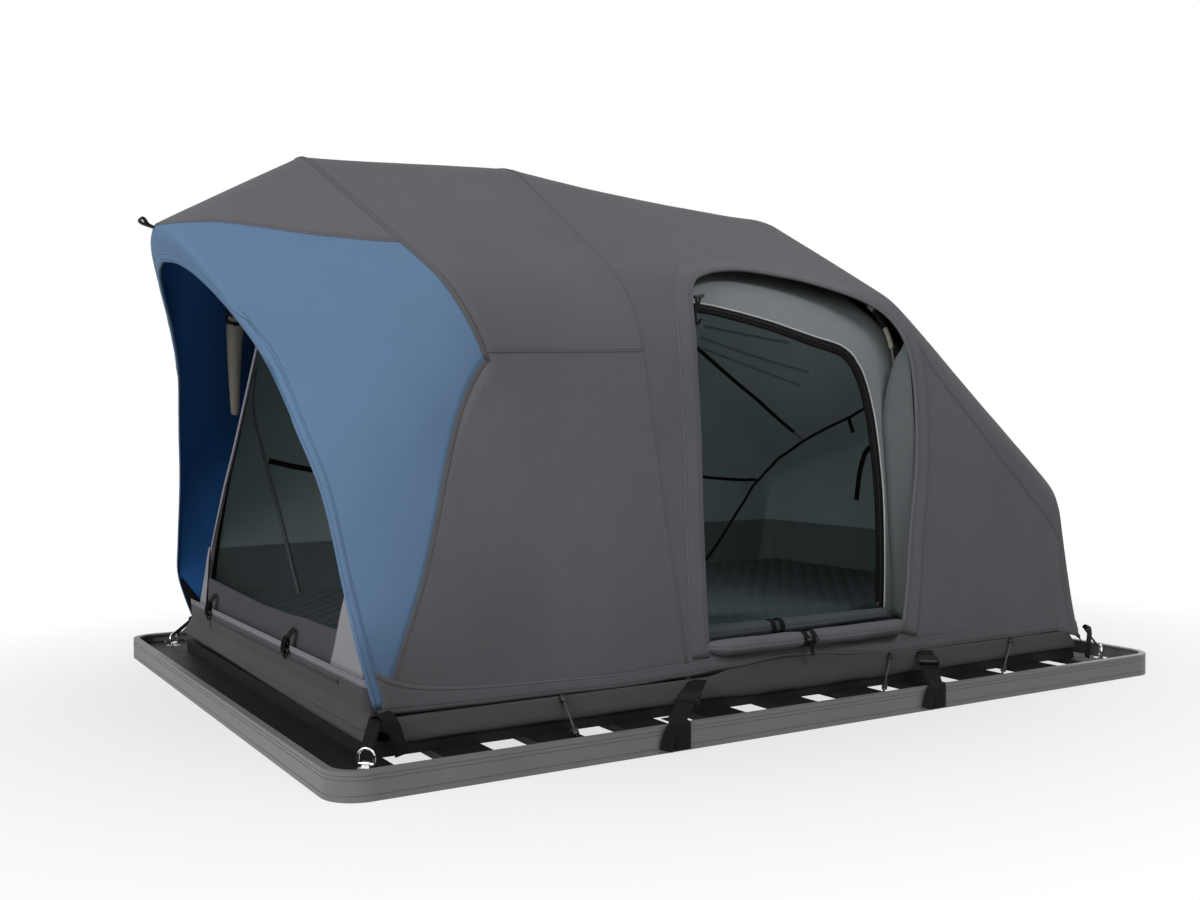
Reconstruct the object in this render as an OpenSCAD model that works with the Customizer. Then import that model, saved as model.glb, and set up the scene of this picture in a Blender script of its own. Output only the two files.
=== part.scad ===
/* [Tray] */
// Length of the slatted roof tray
tray_len = 2160; // [1800:10:2600]
// Width of the slatted roof tray
tray_w = 1630; // [1500:10:1900]
// Height of the tray rail
rail_h = 52; // [40:1:80]
// Corner radius of the tray
tray_r = 66; // [50:1:110]
// Number of cross slats
slat_count = 11; // [7:1:13]
// Width of one slat
slat_w = 100; // [60:1:120]

/* [Tent] */
// Height of the fly crown at the middle hoop, above the tray underside
crown_z = 1251; // [1150:1:1350]
// How far the awning peak reaches in front of the tray centre
peak_x = 1190; // [1100:1:1300]
// Height of the fly hem above the tray underside
hem_z = 100; // [90:1:115]
// Radius of the hoop poles
pole_r = 5.5; // [4:0.1:6]
// Thickness of the mattress
mattress_t = 124; // [60:1:130]
// Thickness of the cloth
cloth_t = 1.2; // [0.8:0.1:2]

/* [Webbing] */
// Width of the side straps
side_strap_w = 38; // [25:1:50]
// Width of the corner straps
corner_strap_w = 25; // [20:1:38]

/* [Hidden] */
$fn = 48;
hx = tray_len / 2;
hy = tray_w / 2;
// the tent keeps its place on a longer or wider tray
kx = tray_len / 2160;
ky = tray_w / 1630;
slat_z = 16;
slat_h = 14;
base_z = slat_z + slat_h;
base_t = 28;
deck_z = base_z + base_t;
foot_z = deck_z + 22;
base_hy = 668 * ky;
tub_hy = 585 * ky;
tub_x0 = -956 * kx;
tub_x1 = 952 * kx;
sill_y = 520 * ky;
pin_r = 4;
run_c = 0.05;
seam = 10;
roof_up = crown_z - 1251;
// a hoop: foot x, lean forward, foot half width, wall half width, wall height, shoulder radius,
// roof slope, crown radius
H1 = [-429 * kx, 21, 645 * ky, 577 * ky, 735 + roof_up, 250, 34.5, 100];
H2 = [-253 * kx, 5.5, 648 * ky, 582 * ky, 702 + roof_up, 260, 35, 250];
H3 = [445 * kx, 1.2, 612 * ky, 548 * ky, 697 + roof_up, 200, 33, 250];
H4 = [894 * kx, -9, 645 * ky, 610 * ky, 302, 130, 14, 380];
// the fly stands clear of the rear hoop at its shoulders and of the tail hoop at its fold
F3 = [445 * kx, 1.2, 650 * ky, 597 * ky, 719 + roof_up, 180, 28, 220];
F4 = [902 * kx, -9, 645 * ky, 612 * ky, 304, 130, 14, 380];
// awning edge from the corner foot to the top of the opening
edge_pts = to_tray([[-945, 660, 108], [-980, 668, 220], [-991, 630, 318], [-1004, 552, 490],
    [-1024, 466, 612], [-1050, 352, 750], [-1088, 256, 850], [-1126, 172, 922],
    [-1152, 90, 962], [-1165, 0, 976]]);
// edge of the open front of the sleeping room
front_pts = to_tray([[-944, 560, 138], [-938, 505, 300], [-930, 440, 425], [-921, 368, 550],
    [-913, 298, 675], [-904, 224, 800], [-894, 150, 905], [-884, 80, 985],
    [-880, 36, 1015], [-878, 0, 1024]]);
fly_door = to_tray([[-200, 138], [-199, 278], [-195, 444], [-190, 609], [-191, 760], [-186, 850], [-166, 914],
    [-128, 951], [-78, 970], [-12, 984], [73, 989], [196, 976], [281, 951], [357, 912], [394, 870],
    [415, 820], [430, 751], [433, 638], [424, 515], [396, 360], [376, 239], [356, 138]]);
// the hem lifts under the side door
hem_arch = to_tray([[-390, 60], [-390, 99.4], [-180, 111], [0, 122], [120, 117], [345, 99.4], [345, 60]]);
inner_door = to_tray([[-196, 172], [-196, 400], [-196, 700], [-190, 820], [-160, 880], [-100, 884],
    [-30, 872], [80, 850], [190, 822], [280, 798], [325, 745], [352, 672], [367, 580], [375, 447], [371, 290],
    [362, 172]]);

// points on the tray, with x and y where they are three long
function to_tray(P) = [for (p = P) len(p) > 2 ? [p[0] * kx, p[1] * ky, p[2]] : [p[0] * kx, p[1]]];
function mix(a, b, q) = a + (b - a) * q;
function ramp(a, b, v) = let (q = max(0, min(1, (v - a) / (b - a)))) q * q * (3 - 2 * q);
function unit(v) = v / norm(v);
function wall_tilt(H) = atan2(H[2] - H[3], H[4]);
function roof_run(H) = (H[3] - H[5] * (cos(wall_tilt(H)) - sin(H[6])) - H[7] * sin(H[6])) / cos(H[6]);
function crown_d(H) = H[4] + H[5] * (cos(H[6]) - sin(wall_tilt(H))) + roof_run(H) * sin(H[6])
    + H[7] * (1 - cos(H[6]));
function shoulder_mid(H) = [H[3] - H[5] * cos(wall_tilt(H)), H[4] - H[5] * sin(wall_tilt(H))];
// point of the arch in its own plane, t from the foot to the crown, o outwards
function arch_yd(H, t, o) = let (a = wall_tilt(H), b = 90 - H[6], c = shoulder_mid(H), k = crown_d(H) - H[7],
    r = c + (H[5] + o) * [cos(b), sin(b)])
    t < 0.3 ? mix([H[2], 0], [H[3], H[4]], t / 0.3) + o * [cos(a), sin(a)]
    : t < 0.56 ? let (g = mix(a, b, (t - 0.3) / 0.26)) c + (H[5] + o) * [cos(g), sin(g)]
    : t < 0.84 ? mix(r, [0, k] + (H[7] + o) * [cos(b), sin(b)], (t - 0.56) / 0.28)
    : let (g = mix(b, 90, (t - 0.84) / 0.16)) [0, k] + (H[7] + o) * [cos(g), sin(g)];
function arch_at(H, t, o) = let (p = arch_yd(H, t, o))
    [H[0] - p[1] * sin(H[1]), p[0], foot_z + p[1] * cos(H[1])];
// smooth run through a list of points, t from 0 to 1
function run_at(P, t) = let (n = len(P) - 1, s = min(t * n, n - 0.0001), i = floor(s), q = s - i,
    a = P[max(i - 1, 0)], b = P[i], c = P[i + 1], d = P[min(i + 2, n)])
    0.5 * (2 * b + (c - a) * q + (2 * a - 5 * b + 4 * c - d) * q * q + (3 * b - a - 3 * c + d) * q * q * q);
function to_far(p, s) = [p[0], s * p[1], p[2]];
// the arch measured from the hem up
function hem_t(H) = 0.3 * (hem_z - foot_z) / (H[4] * cos(H[1]));
function fly_arch(H, t) = arch_at(H, mix(hem_t(H), 1, t), seam);
function brow_at(t) = run_at(edge_pts, t) + ramp(0.45, 1, t) * [-edge_pts[9][0] - peak_x, 12 * (1 - t), 72];
// rows along the tent: 0 brow, 1 front hoop, 2 middle hoop, 3 rear hoop, 4 tail hoop, 5 rear hem
function rear_at(t) = let (p = fly_arch(F4, t))
    [1008 * kx - 40 * ramp(0.3, 0, t), min(p[1] + 20 * ramp(0.5, 0, t), 686 * ky), hem_z - 12];
function fly_row(i, t) = i == 0 ? brow_at(t) : i == 1 ? fly_arch(H1, t) : i == 2 ? fly_arch(H2, t)
    : i == 3 ? fly_arch(F3, t) : i == 4 ? fly_arch(F4, t) : rear_at(t);
// how far the cloth hangs in between the rows
bay_sag = [0, 0, 9, -4, 0];
function sag(q) = 4 * q * (1 - q);
function fly_at(u, t) = let (i = min(floor(u), 4), q = u - i, p = mix(fly_row(i, t), fly_row(i + 1, t), q))
    p - sag(q) * bay_sag[i] * [0, 0.7 * ramp(0, 0.25, t) * (1 - ramp(0.5, 0.9, t)), ramp(0.35, 0.8, t)];
function fly_point(u, s) = s < 0 ? to_far(fly_at(u, 1 + s), -1) : fly_at(u, 1 - s);
// the sleeping room hangs inside the hoops
room_y = 592 * ky;
function room_H(H) = let (w = min(H[3], room_y - 17),
    z = H[4] - H[5] * (sin(wall_tilt(H)) - sin(atan2(room_y - w, H[4]))))
    [H[0], H[1], room_y, w, z, H[5], H[6], H[7]];
function room_arch(H, t) = let (R = room_H(H)) arch_at(R, mix(0.3 * 57.9 / cos(H[1]) / R[4], 1, t), -14);
function room_rear(t) = let (p = room_arch(H4, t)) [tub_x1 - 6, p[1] * 0.968, 137.9];
function room_row(i, t) = i == 0 ? run_at(front_pts, t) : i == 1 ? room_arch(H1, t)
    : i == 2 ? room_arch(H2, t) : i == 3 ? room_arch(H3, t) : i == 4 ? room_arch(H4, t) : room_rear(t);
function room_at(u, t) = let (i = min(floor(u), 4), q = u - i) mix(room_row(i, t), room_row(i + 1, t), q);
function room_point(u, s) = s < 0 ? to_far(room_at(u, 1 + s), -1) : room_at(u, 1 - s);
// blue panel borders in the front bay
function low_t(u) = 0.287 * (1 - pow(1 - u, 2));
function high_t(u) = 1 - 0.385 * pow(u, 0.6);

// cloth between two grids of points
module cloth(G, t) {
    n = len(G) - 1;
    m = len(G[0]) - 1;
    function nrm(i, j) = let (a = G[min(i + 1, n)][j] - G[max(i - 1, 0)][j],
        b = G[i][min(j + 1, m)] - G[i][max(j - 1, 0)]) unit(cross(a, b));
    O = [for (i = [0:n]) for (j = [0:m]) G[i][j]];
    I = [for (i = [0:n]) for (j = [0:m]) G[i][j] - t * nrm(i, j)];
    k = (n + 1) * (m + 1);
    function at(i, j) = i * (m + 1) + j;
    F = concat(
        [for (i = [0:n - 1]) for (j = [0:m - 1]) [at(i, j), at(i, j + 1), at(i + 1, j)]],
        [for (i = [0:n - 1]) for (j = [0:m - 1]) [at(i, j + 1), at(i + 1, j + 1), at(i + 1, j)]],
        [for (i = [0:n - 1]) for (j = [0:m - 1]) [k + at(i, j), k + at(i + 1, j), k + at(i, j + 1)]],
        [for (i = [0:n - 1]) for (j = [0:m - 1]) [k + at(i, j + 1), k + at(i + 1, j), k + at(i + 1, j + 1)]],
        [for (i = [0:n - 1]) [at(i, 0), at(i + 1, 0), k + at(i, 0)]],
        [for (i = [0:n - 1]) [at(i + 1, 0), k + at(i + 1, 0), k + at(i, 0)]],
        [for (i = [0:n - 1]) [at(i, m), k + at(i, m), at(i + 1, m)]],
        [for (i = [0:n - 1]) [at(i + 1, m), k + at(i, m), k + at(i + 1, m)]],
        [for (j = [0:m - 1]) [at(0, j), k + at(0, j), at(0, j + 1)]],
        [for (j = [0:m - 1]) [at(0, j + 1), k + at(0, j), k + at(0, j + 1)]],
        [for (j = [0:m - 1]) [at(n, j), at(n, j + 1), k + at(n, j)]],
        [for (j = [0:m - 1]) [at(n, j + 1), k + at(n, j + 1), k + at(n, j)]]);
    polyhedron(concat(O, I), F, convexity = 8);
}

module door_prism(P, y0, y1) {
    translate([0, y1, 0]) rotate([90, 0, 0]) linear_extrude(y1 - y0) polygon(P);
}

// rail section: x outwards from the inner edge, y up
module rail_section() {
    difference() {
        square([30, rail_h]);
        translate([-1, slat_z]) square([27, rail_h - slat_z - 4]);
        translate([-1, slat_z]) square([15.7, rail_h]);
        translate([29, rail_h - 9]) square([2, 2]);
        translate([29, rail_h - 16]) square([2, 2]);
        translate([29, 9]) square([2, 3]);
    }
}

module rail_bar(len) {
    translate([-len / 2, 0, 0]) rotate([90, 0, 90]) linear_extrude(len) rail_section();
}

module fixing_holes() {
    for (x = [-500, 500]) translate([x, hy - 15, -1]) cylinder(r = 4.5, h = slat_z + 2);
}

module near_side_rail() {
    color([0.37, 0.38, 0.37]) mirror([0, 1, 0]) difference() {
        translate([0, hy - 30, 0]) rail_bar(tray_len - 2 * tray_r);
        fixing_holes();
    }
}

module far_side_rail() {
    color([0.37, 0.38, 0.37]) difference() {
        translate([0, hy - 30, 0]) rail_bar(tray_len - 2 * tray_r);
        fixing_holes();
    }
}

module front_rail() {
    color([0.52, 0.52, 0.52]) rotate([0, 0, 90]) translate([0, hx - 30, 0]) rail_bar(tray_w - 2 * tray_r);
}

module rear_rail() {
    color([0.45, 0.45, 0.45]) rotate([0, 0, -90]) translate([0, hx - 30, 0]) rail_bar(tray_w - 2 * tray_r);
}

module corner_pieces() {
    color([0.45, 0.45, 0.45]) for (i = [-1, 1]) for (j = [-1, 1])
        translate([i * (hx - tray_r), j * (hy - tray_r), 0]) rotate([0, 0, 45 * (2 - i) * j - 45])
            rotate_extrude(angle = 90) translate([tray_r - 30, 0]) rail_section();
}

function slat_x(i) = mix(-987, 963, i / (slat_count - 1)) * tray_len / 2160;

module cross_slats() {
    color([0.06, 0.06, 0.065]) for (i = [0:slat_count - 1]) translate([slat_x(i), 0, slat_z]) difference() {
        translate([-slat_w / 2, -hy + 9, 0]) cube([slat_w, tray_w - 18, slat_h]);
        translate([-slat_w / 2 + 3, -hy, 2.5]) cube([slat_w - 6, tray_w, slat_h - 5]);
        for (s = [-1, 1]) translate([0, s * (hy - 22), -1]) cylinder(r = 3.1, h = 40);
    }
}

module slat_bolts() {
    color([0.6, 0.6, 0.6]) for (i = [0:slat_count - 1]) for (s = [-1, 1])
        translate([slat_x(i), s * (hy - 22), 0]) {
            translate([0, 0, base_z]) cylinder(r = 5.6, h = 3, $fn = 24);
            translate([0, 0, slat_z + 0.1]) cylinder(r = 3, h = slat_h, $fn = 24);
        }
}

module rounded_slab(x0, x1, y, r, h) {
    linear_extrude(h) {
        translate([x0 + r, -y]) square([x1 - x0 - 2 * r, 2 * y]);
        translate([x0, -y + r]) square([x1 - x0, 2 * y - 2 * r]);
        for (x = [x0 + r, x1 - r]) for (s = [-1, 1]) translate([x, s * (y - r)]) circle(r = r);
    }
}

module base_panel() {
    color([0.035, 0.035, 0.04]) translate([0, 0, base_z])
        rounded_slab(-966 * kx, 968 * kx, base_hy, 30, base_t);
}

module floor_tub() {
    color([0.4, 0.39, 0.38]) difference() {
        union() {
            translate([0, 0, deck_z]) rounded_slab(tub_x0, tub_x1, tub_hy, 40, 79);
            translate([tub_x0, -sill_y, deck_z]) cube([8, 2 * sill_y, 107]);
        }
        translate([0, 0, deck_z + 4]) rounded_slab(tub_x0 + 8, tub_x1 - 8, tub_hy - 8, 32, 120);
    }
}

module sill_binding() {
    color([0.62, 0.62, 0.6]) translate([tub_x0 - 1.4, -sill_y, deck_z + 94]) cube([1.2, 2 * sill_y, 13]);
}

zip_y = sill_y - 20;

module sill_zip() {
    color([0.04, 0.04, 0.045]) translate([tub_x0 - 1.2, -zip_y, deck_z + 78]) {
        cube([1.1, 2 * zip_y, 9]);
        translate([-0.6, 0, 4.5]) rotate([-90, 0, 0]) cylinder(r = 1.6, h = 2 * zip_y, $fn = 16);
    }
}

module zip_slider() {
    color([0.5, 0.5, 0.52]) translate([tub_x0 - 1.8, zip_y - 70, deck_z + 82.5]) {
        difference() {
            translate([-4, -6, -5]) cube([6.2, 12, 10]);
            translate([-0.1, -7, 0]) rotate([-90, 0, 0]) cylinder(r = 2, h = 14, $fn = 16);
            translate([-0.6, -7, -6]) cube([3, 14, 12]);
        }
        translate([-5.2, -2.5, -26]) cube([1.2, 5, 24]);
    }
}

// quilted mattress: ribs across the bed, rounded edge
bed_x0 = tub_x0 + 26;
bed_x1 = tub_x1 - 16;
bed_y = 505 * ky;
bed_ribs = 18;
function bed_edge(v, w) = min(1, v / w);
function bed_round(v) = sqrt(max(0, 1 - pow(1 - bed_edge(v, 34), 2)));
function bed_z(x, y) = let (q = (x - bed_x0) / (bed_x1 - bed_x0) * bed_ribs, w = abs(sin(180 * q)),
    e = bed_round(min(x - bed_x0, bed_x1 - x)) * bed_round(bed_y - abs(y)))
    deck_z + 4.3 + mattress_t * (0.42 + 0.58 * e) - 9 * e * (1 - pow(w, 0.6)) - 3 * (1 - e) * (1 - w);

module mattress() {
    nx = bed_ribs * 4;
    ys = [-bed_y, -bed_y + 6, -bed_y + 20, -bed_y + 40, 0, bed_y - 40, bed_y - 20, bed_y - 6, bed_y];
    m = len(ys) - 1;
    ex = [0, 6, 20];
    xs = concat([for (e = ex) bed_x0 + e], [for (i = [2:nx - 2]) mix(bed_x0, bed_x1, i / nx)],
        [for (k = [2:-1:0]) bed_x1 - ex[k]]);
    n = len(xs) - 1;
    T = [for (x = xs) for (y = ys) [x, y, bed_z(x, y)]];
    k = len(T);
    z = deck_z + 4.3;
    B = [[bed_x0, -bed_y, z], [bed_x0, bed_y, z], [bed_x1, bed_y, z], [bed_x1, -bed_y, z]];
    function at(i, j) = i * (m + 1) + j;
    F = concat(
        [for (i = [0:n - 1]) for (j = [0:m - 1]) [at(i, j), at(i, j + 1), at(i + 1, j)]],
        [for (i = [0:n - 1]) for (j = [0:m - 1]) [at(i, j + 1), at(i + 1, j + 1), at(i + 1, j)]],
        [[k + 3, k + 2, k + 1, k]],
        [concat([k, k + 1], [for (j = [m:-1:0]) at(0, j)])],
        [concat([k + 2, k + 3], [for (j = [0:m]) at(n, j)])],
        [concat([k + 3, k], [for (i = [0:n]) at(i, 0)])],
        [concat([k + 1, k + 2], [for (i = [n:-1:0]) at(i, m)])]);
    color([0.09, 0.22, 0.23]) polyhedron(concat(T, B), F, convexity = 6);
}

module place_hoop(H) {
    translate([H[0], 0, foot_z]) rotate([0, -H[1], 0]) children();
}

// round bar along the arch from distance d0 up one leg, over and down the other
module arch_bar(H, r, d0) {
    a = wall_tilt(H);
    b = 90 - H[6];
    c = shoulder_mid(H);
    leg = sqrt(pow(H[2] - H[3], 2) + pow(H[4], 2));
    k = crown_d(H) - H[7];
    for (s = [0, 1]) mirror([0, s, 0]) {
        translate([0, H[2], 0]) rotate([a, 0, 0]) {
            translate([0, 0, d0]) cylinder(r = r, h = leg - d0);
            translate([0, 0, leg - 36]) cylinder(r = r + 1.2, h = 38);
        }
        translate([0, c[0], c[1]]) rotate([90, 0, 90]) rotate([0, 0, a])
            rotate_extrude(angle = b - a) translate([H[5], 0]) circle(r = r);
        translate([0, c[0] + H[5] * cos(b), c[1] + H[5] * sin(b)]) rotate([b, 0, 0]) {
            cylinder(r = r, h = roof_run(H));
            translate([0, 0, -2]) cylinder(r = r + 1.2, h = 38);
            translate([0, 0, roof_run(H) - 36]) cylinder(r = r + 1.2, h = 38);
        }
    }
    translate([0, 0, k]) rotate([90, 0, 90]) rotate([0, 0, b])
        rotate_extrude(angle = 2 * H[6]) translate([H[7], 0]) circle(r = r);
}

module hoop_pole(H) {
    color([0.05, 0.05, 0.055]) place_hoop(H) arch_bar(H, pole_r, 14);
}

module hoop_feet(H) {
    a = wall_tilt(H);
    color([0.62, 0.63, 0.64]) place_hoop(H) for (s = [0, 1]) mirror([0, s, 0]) translate([0, H[2], 0])
        difference() {
            union() {
                rotate([90, 0, 0]) translate([0, 0, -6]) cylinder(r = 9.5, h = 12);
                translate([-6, -6, 0]) cube([12, 12, 13]);
                rotate([a, 0, 0]) translate([0, 0, 11.8]) cylinder(r = 8, h = 52);
            }
            rotate([90, 0, 0]) translate([0, 0, -20]) cylinder(r = pin_r + run_c, h = 40);
            rotate([a, 0, 0]) translate([0, 0, 13.9]) cylinder(r = pole_r + 0.02, h = 60);
        }
}

module front_hoop() { hoop_pole(H1); }
module front_hoop_feet() { hoop_feet(H1); }
module mid_hoop() { hoop_pole(H2); }
module mid_hoop_feet() { hoop_feet(H2); }
module rear_hoop() { hoop_pole(H3); }
module rear_hoop_feet() { hoop_feet(H3); }
module tail_hoop() { hoop_pole(H4); }
module tail_hoop_feet() { hoop_feet(H4); }

module hoop_brackets() {
    color([0.12, 0.12, 0.125]) for (H = [H1, H2, H3, H4]) for (s = [-1, 1])
        translate([H[0], s * H[2], foot_z]) difference() {
            union() {
                translate([-24, -12, deck_z - foot_z]) cube([48, 24, 4]);
                for (e = [-1, 1]) translate([0, e * 8.4, 0]) {
                    rotate([90, 0, 0]) translate([0, 0, -2]) cylinder(r = 9, h = 4);
                    translate([-9, -2, deck_z - foot_z + 4]) cube([18, 4, foot_z - deck_z - 4]);
                }
            }
            rotate([90, 0, 0]) translate([0, 0, -20]) cylinder(r = pin_r + 0.02, h = 40);
        }
}

module hinge_pins() {
    color([0.7, 0.7, 0.72]) for (H = [H1, H2, H3, H4]) for (s = [-1, 1])
        translate([H[0], s * H[2], foot_z]) rotate([90, 0, 0]) {
            translate([0, 0, -11]) cylinder(r = pin_r, h = 22);
            for (e = [-12, 10.5]) translate([0, 0, e]) cylinder(r = 5.8, h = 1.5);
        }
}

// crown fitting of the front hoop with the brow hinge
module front_hub() {
    color([0.1, 0.1, 0.105]) place_hoop(H1) translate([0, 0, crown_d(H1)]) difference() {
        union() {
            translate([-9, -22, -13]) cube([18, 44, 13.4]);
            for (e = [-1, 1]) translate([0, e * 8.4, 0]) {
                translate([-24, -2, -13]) cube([17, 4, 13]);
                translate([-24, 0, -6.5]) rotate([90, 0, 0]) translate([0, 0, -2]) cylinder(r = 6.5, h = 4);
            }
        }
        translate([0, 0, -crown_d(H1)]) arch_bar(H1, pole_r + 0.02, 14);
        translate([-24, 0, -6.5]) rotate([90, 0, 0]) translate([0, 0, -20]) cylinder(r = 3 + run_c, h = 40);
    }
}

// brow hinge in the tray frame
function hub_at(dx, dz) = let (c = cos(21), s = sin(21))
    [H1[0] + dx * c - (crown_d(H1) + dz) * s, 0, foot_z + dx * s + (crown_d(H1) + dz) * c];
brow_piv = hub_at(-24, -6.5);
peak_z = edge_pts[9][2] + 72;
brow_end = [-peak_x + 32, 0, peak_z - 26];
brow_run = norm(brow_end - brow_piv);
brow_tilt = atan2(brow_end[2] - brow_piv[2], brow_piv[0] - brow_end[0]);

module place_brow() {
    translate(brow_piv) rotate([0, brow_tilt, 0]) rotate([0, -90, 0]) children();
}

module brow_pole() {
    color([0.05, 0.05, 0.055]) place_brow() {
        translate([0, 0, 12]) cylinder(r = pole_r, h = brow_run - 12);
        rotate([90, 0, 0]) translate([0, 0, -6]) cylinder(r = 6, h = 12);
        translate([-4.5, -6, 0]) cube([9, 12, 12.5]);
        rotate([90, 0, 0]) translate([0, 0, -10.6]) cylinder(r = 3, h = 21.2);
    }
}

module brow_tip() {
    color([0.62, 0.63, 0.64]) place_brow() translate([0, 0, brow_run - 30]) difference() {
        union() {
            cylinder(r = 8, h = 34);
            translate([0, 0, 34]) sphere(r = 8);
        }
        translate([0, 0, -1]) cylinder(r = pole_r + 0.02, h = 31.01);
    }
}

// cloth sleeves on the hoop shoulders
module hoop_sleeve(H, q0, q1) {
    a = wall_tilt(H);
    b = 90 - H[6];
    c = shoulder_mid(H);
    color([0.63, 0.58, 0.5]) place_hoop(H) for (s = [0, 1]) mirror([0, s, 0])
        translate([0, c[0], c[1]]) rotate([90, 0, 90]) rotate([0, 0, mix(a, b, q0)])
            rotate_extrude(angle = (b - a) * (q1 - q0)) translate([H[5], 0]) difference() {
                circle(r = pole_r + 1.5);
                circle(r = pole_r + 0.4);
            }
}

module rear_sleeves() { hoop_sleeve(H3, 0.2, 0.95); }
module front_sleeves() { hoop_sleeve(H1, 0.1, 0.8); }

module fly_main() {
    us = concat([for (i = [0:6]) 1.001 + i * 0.1665], [for (i = [1:9]) 2 + i / 9],
        [for (i = [1:5]) 3 + i / 5], [4.5, 4.97]);
    ss = [-1, -0.9, -0.78, -0.7, -0.63, -0.56, -0.5, -0.44, -0.3, -0.16, -0.1, -0.05, 0,
        0.05, 0.1, 0.16, 0.3, 0.44, 0.5, 0.56, 0.63, 0.7, 0.78, 0.9, 1];
    color([0.36, 0.355, 0.36]) resize([0, 0, 0]) difference() {
        cloth([for (u = us) [for (s = ss) fly_point(u, -s)]], cloth_t);
        door_prism(fly_door, -900, -300);
        door_prism(hem_arch, -900, -300);
    }
}

front_us = [for (i = [0:8]) mix(0.05, 0.998, i / 8)];
seam_t = 0.0005;

module fly_front() {
    us = front_us;
    color([0.36, 0.355, 0.36]) {
        cloth([for (u = us) [for (k = [-6:6]) fly_point(u, -k / 6 * (1 - high_t(u) - seam_t))]], cloth_t);
        for (s = [-1, 1]) cloth([for (u = us) [for (k = [0:5])
            let (t = (low_t(u) - seam_t) * (s < 0 ? k / 5 : 1 - k / 5)) fly_point(u, s * (1 - t))]], cloth_t);
    }
}

// front face of the awning, from the brow line down to the edge of the opening
function face_gap(t) = min(0.5, 2.4 / (76 * ramp(0.45, 1, t)));
function face_at(q, t) = mix(brow_at(t), run_at(edge_pts, t), mix(face_gap(t), 1, q));
function face_point(q, s) = s < 0 ? to_far(face_at(q, 1 + s), -1) : face_at(q, 1 - s);

module fly_awning() {
    us = concat([0], front_us);
    color([0.33, 0.48, 0.66]) {
        for (s = [-1, 1]) cloth([for (u = us) [for (k = [0:12]) let (q = s < 0 ? k / 12 : 1 - k / 12,
            t = mix(low_t(u) + seam_t, high_t(u) - seam_t, q)) fly_point(u, s * (1 - t))]], cloth_t);
        cloth([for (i = [0:2]) [for (k = [-9:9]) face_point(1 - i / 2, -k / 9 * 0.42)]], cloth_t);
    }
}

module peak_tab() {
    color([0.05, 0.05, 0.055]) translate([-peak_x - 0.8, -12, peak_z - 1]) rotate([0, 15, 0])
        translate([-22, 0, 0]) cube([22, 24, 2]);
}

module inner_canopy() {
    us = concat([0, 0.3, 0.65], [for (i = [0:3]) 1 + i / 4], [for (i = [0:7]) 2 + i / 8],
        [for (i = [0:4]) 3 + i / 4], [4.5, 5]);
    ss = [-1, -0.86, -0.75, -0.66, -0.57, -0.48, -0.34, -0.2, -0.1, 0,
        0.1, 0.2, 0.34, 0.48, 0.57, 0.66, 0.75, 0.86, 1];
    color([0.42, 0.47, 0.44]) resize([0, 0, 0]) difference() {
        cloth([for (u = us) [for (s = ss) room_point(u, -s)]], cloth_t);
        door_prism(inner_door, -900, -300);
    }
}

module door_zip() {
    color([0.03, 0.03, 0.035]) resize([0, 0, 0]) intersection() {
        cloth([for (i = [0:8]) [for (t = [0.8, 0.66, 0.52, 0.43, 0.34, 0.25, 0.14, 0])
            to_far(room_at(2 + i / 8, t), -1) + [0, -2.1, 1.5]]], 1.6);
        translate([0, -300, 0]) rotate([90, 0, 0]) linear_extrude(600) difference() {
            offset(delta = 9) polygon(inner_door);
            offset(delta = -1) polygon(inner_door);
        }
    }
}

module soft_roll(len, r) {
    rotate([0, 90, 0]) {
        cylinder(r = r, h = len);
        sphere(r = r);
        translate([0, 0, len]) sphere(r = r);
    }
}

module fly_door_roll() {
    color([0.34, 0.335, 0.34]) translate([-175 * kx, -664 * ky, 158]) soft_roll(500 * kx, 20);
}

module inner_door_roll() {
    color([0.16, 0.34, 0.34]) translate([-165 * kx, -602 * ky, deck_z + 120]) soft_roll(505 * kx, 19);
}

module front_door_panel() {
    color([0.2, 0.2, 0.2]) cloth([for (i = [0:3]) [for (j = [0:18]) let (q = j / 18)
        [tub_x0 + 11.3 + 2.4 * sin(360 * q * 2 + 40 * i) * i / 3, mix(zip_y, -zip_y, q),
        deck_z + 62 + i / 3 * (96 + 24 * abs(q - 0.5))]]], cloth_t);
}

// sand coloured door rolled to the far side of the front opening
module front_flap_roll() {
    a = [-931 * kx, 297 * ky, 937];
    d = [44.4, 184.8, -196.6];
    color([0.63, 0.58, 0.5]) translate(a) rotate([0, acos(d[2] / norm(d)), atan2(d[1], d[0])]) {
        cylinder(r = 13, h = norm(d));
        sphere(r = 13);
    }
}

module toggle(p, a) {
    translate(p) rotate([0, 0, a]) {
        rotate([0, 90, 0]) translate([0, 0, -14]) cylinder(r = 3.4, h = 28, $fn = 20);
        translate([-4, -3.7, 2]) cube([8, 4.7, 9]);
    }
}

module door_toggles() {
    color([0.04, 0.04, 0.045]) {
        for (y = [-195, 426]) toggle([tub_x0 - 5.1, y * ky, deck_z + 96], 90);
        toggle([55 * kx, -664 * ky - 23.7, 158], 180);
    }
}

// webbing in a plane across the tent: a list of points, thickness w
module web(P, w, b) {
    rotate([90, 0, 90]) translate([0, 0, -b / 2]) linear_extrude(b)
        for (i = [0:len(P) - 2]) let (d = P[i + 1] - P[i], a = atan2(d[1], d[0])) translate(P[i]) rotate(a) {
            translate([0, -w / 2]) square([norm(d), w]);
            circle(r = w / 2, $fn = 16);
        }
}

near_strap = [-245 * kx, 140];
cam_strap = [412 * kx, 105];
strap_y = base_hy + 3;
function strap_turn(S) = atan2(S[1], hy - 16 - strap_y);
function strap_run(S) = norm([S[1], hy - 16 - strap_y]);
function strap_a(S) = atan2(rail_h + 3.4 - 92, strap_run(S));
function strap_len(S) = norm([strap_run(S), rail_h + 3.4 - 92]);

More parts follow.
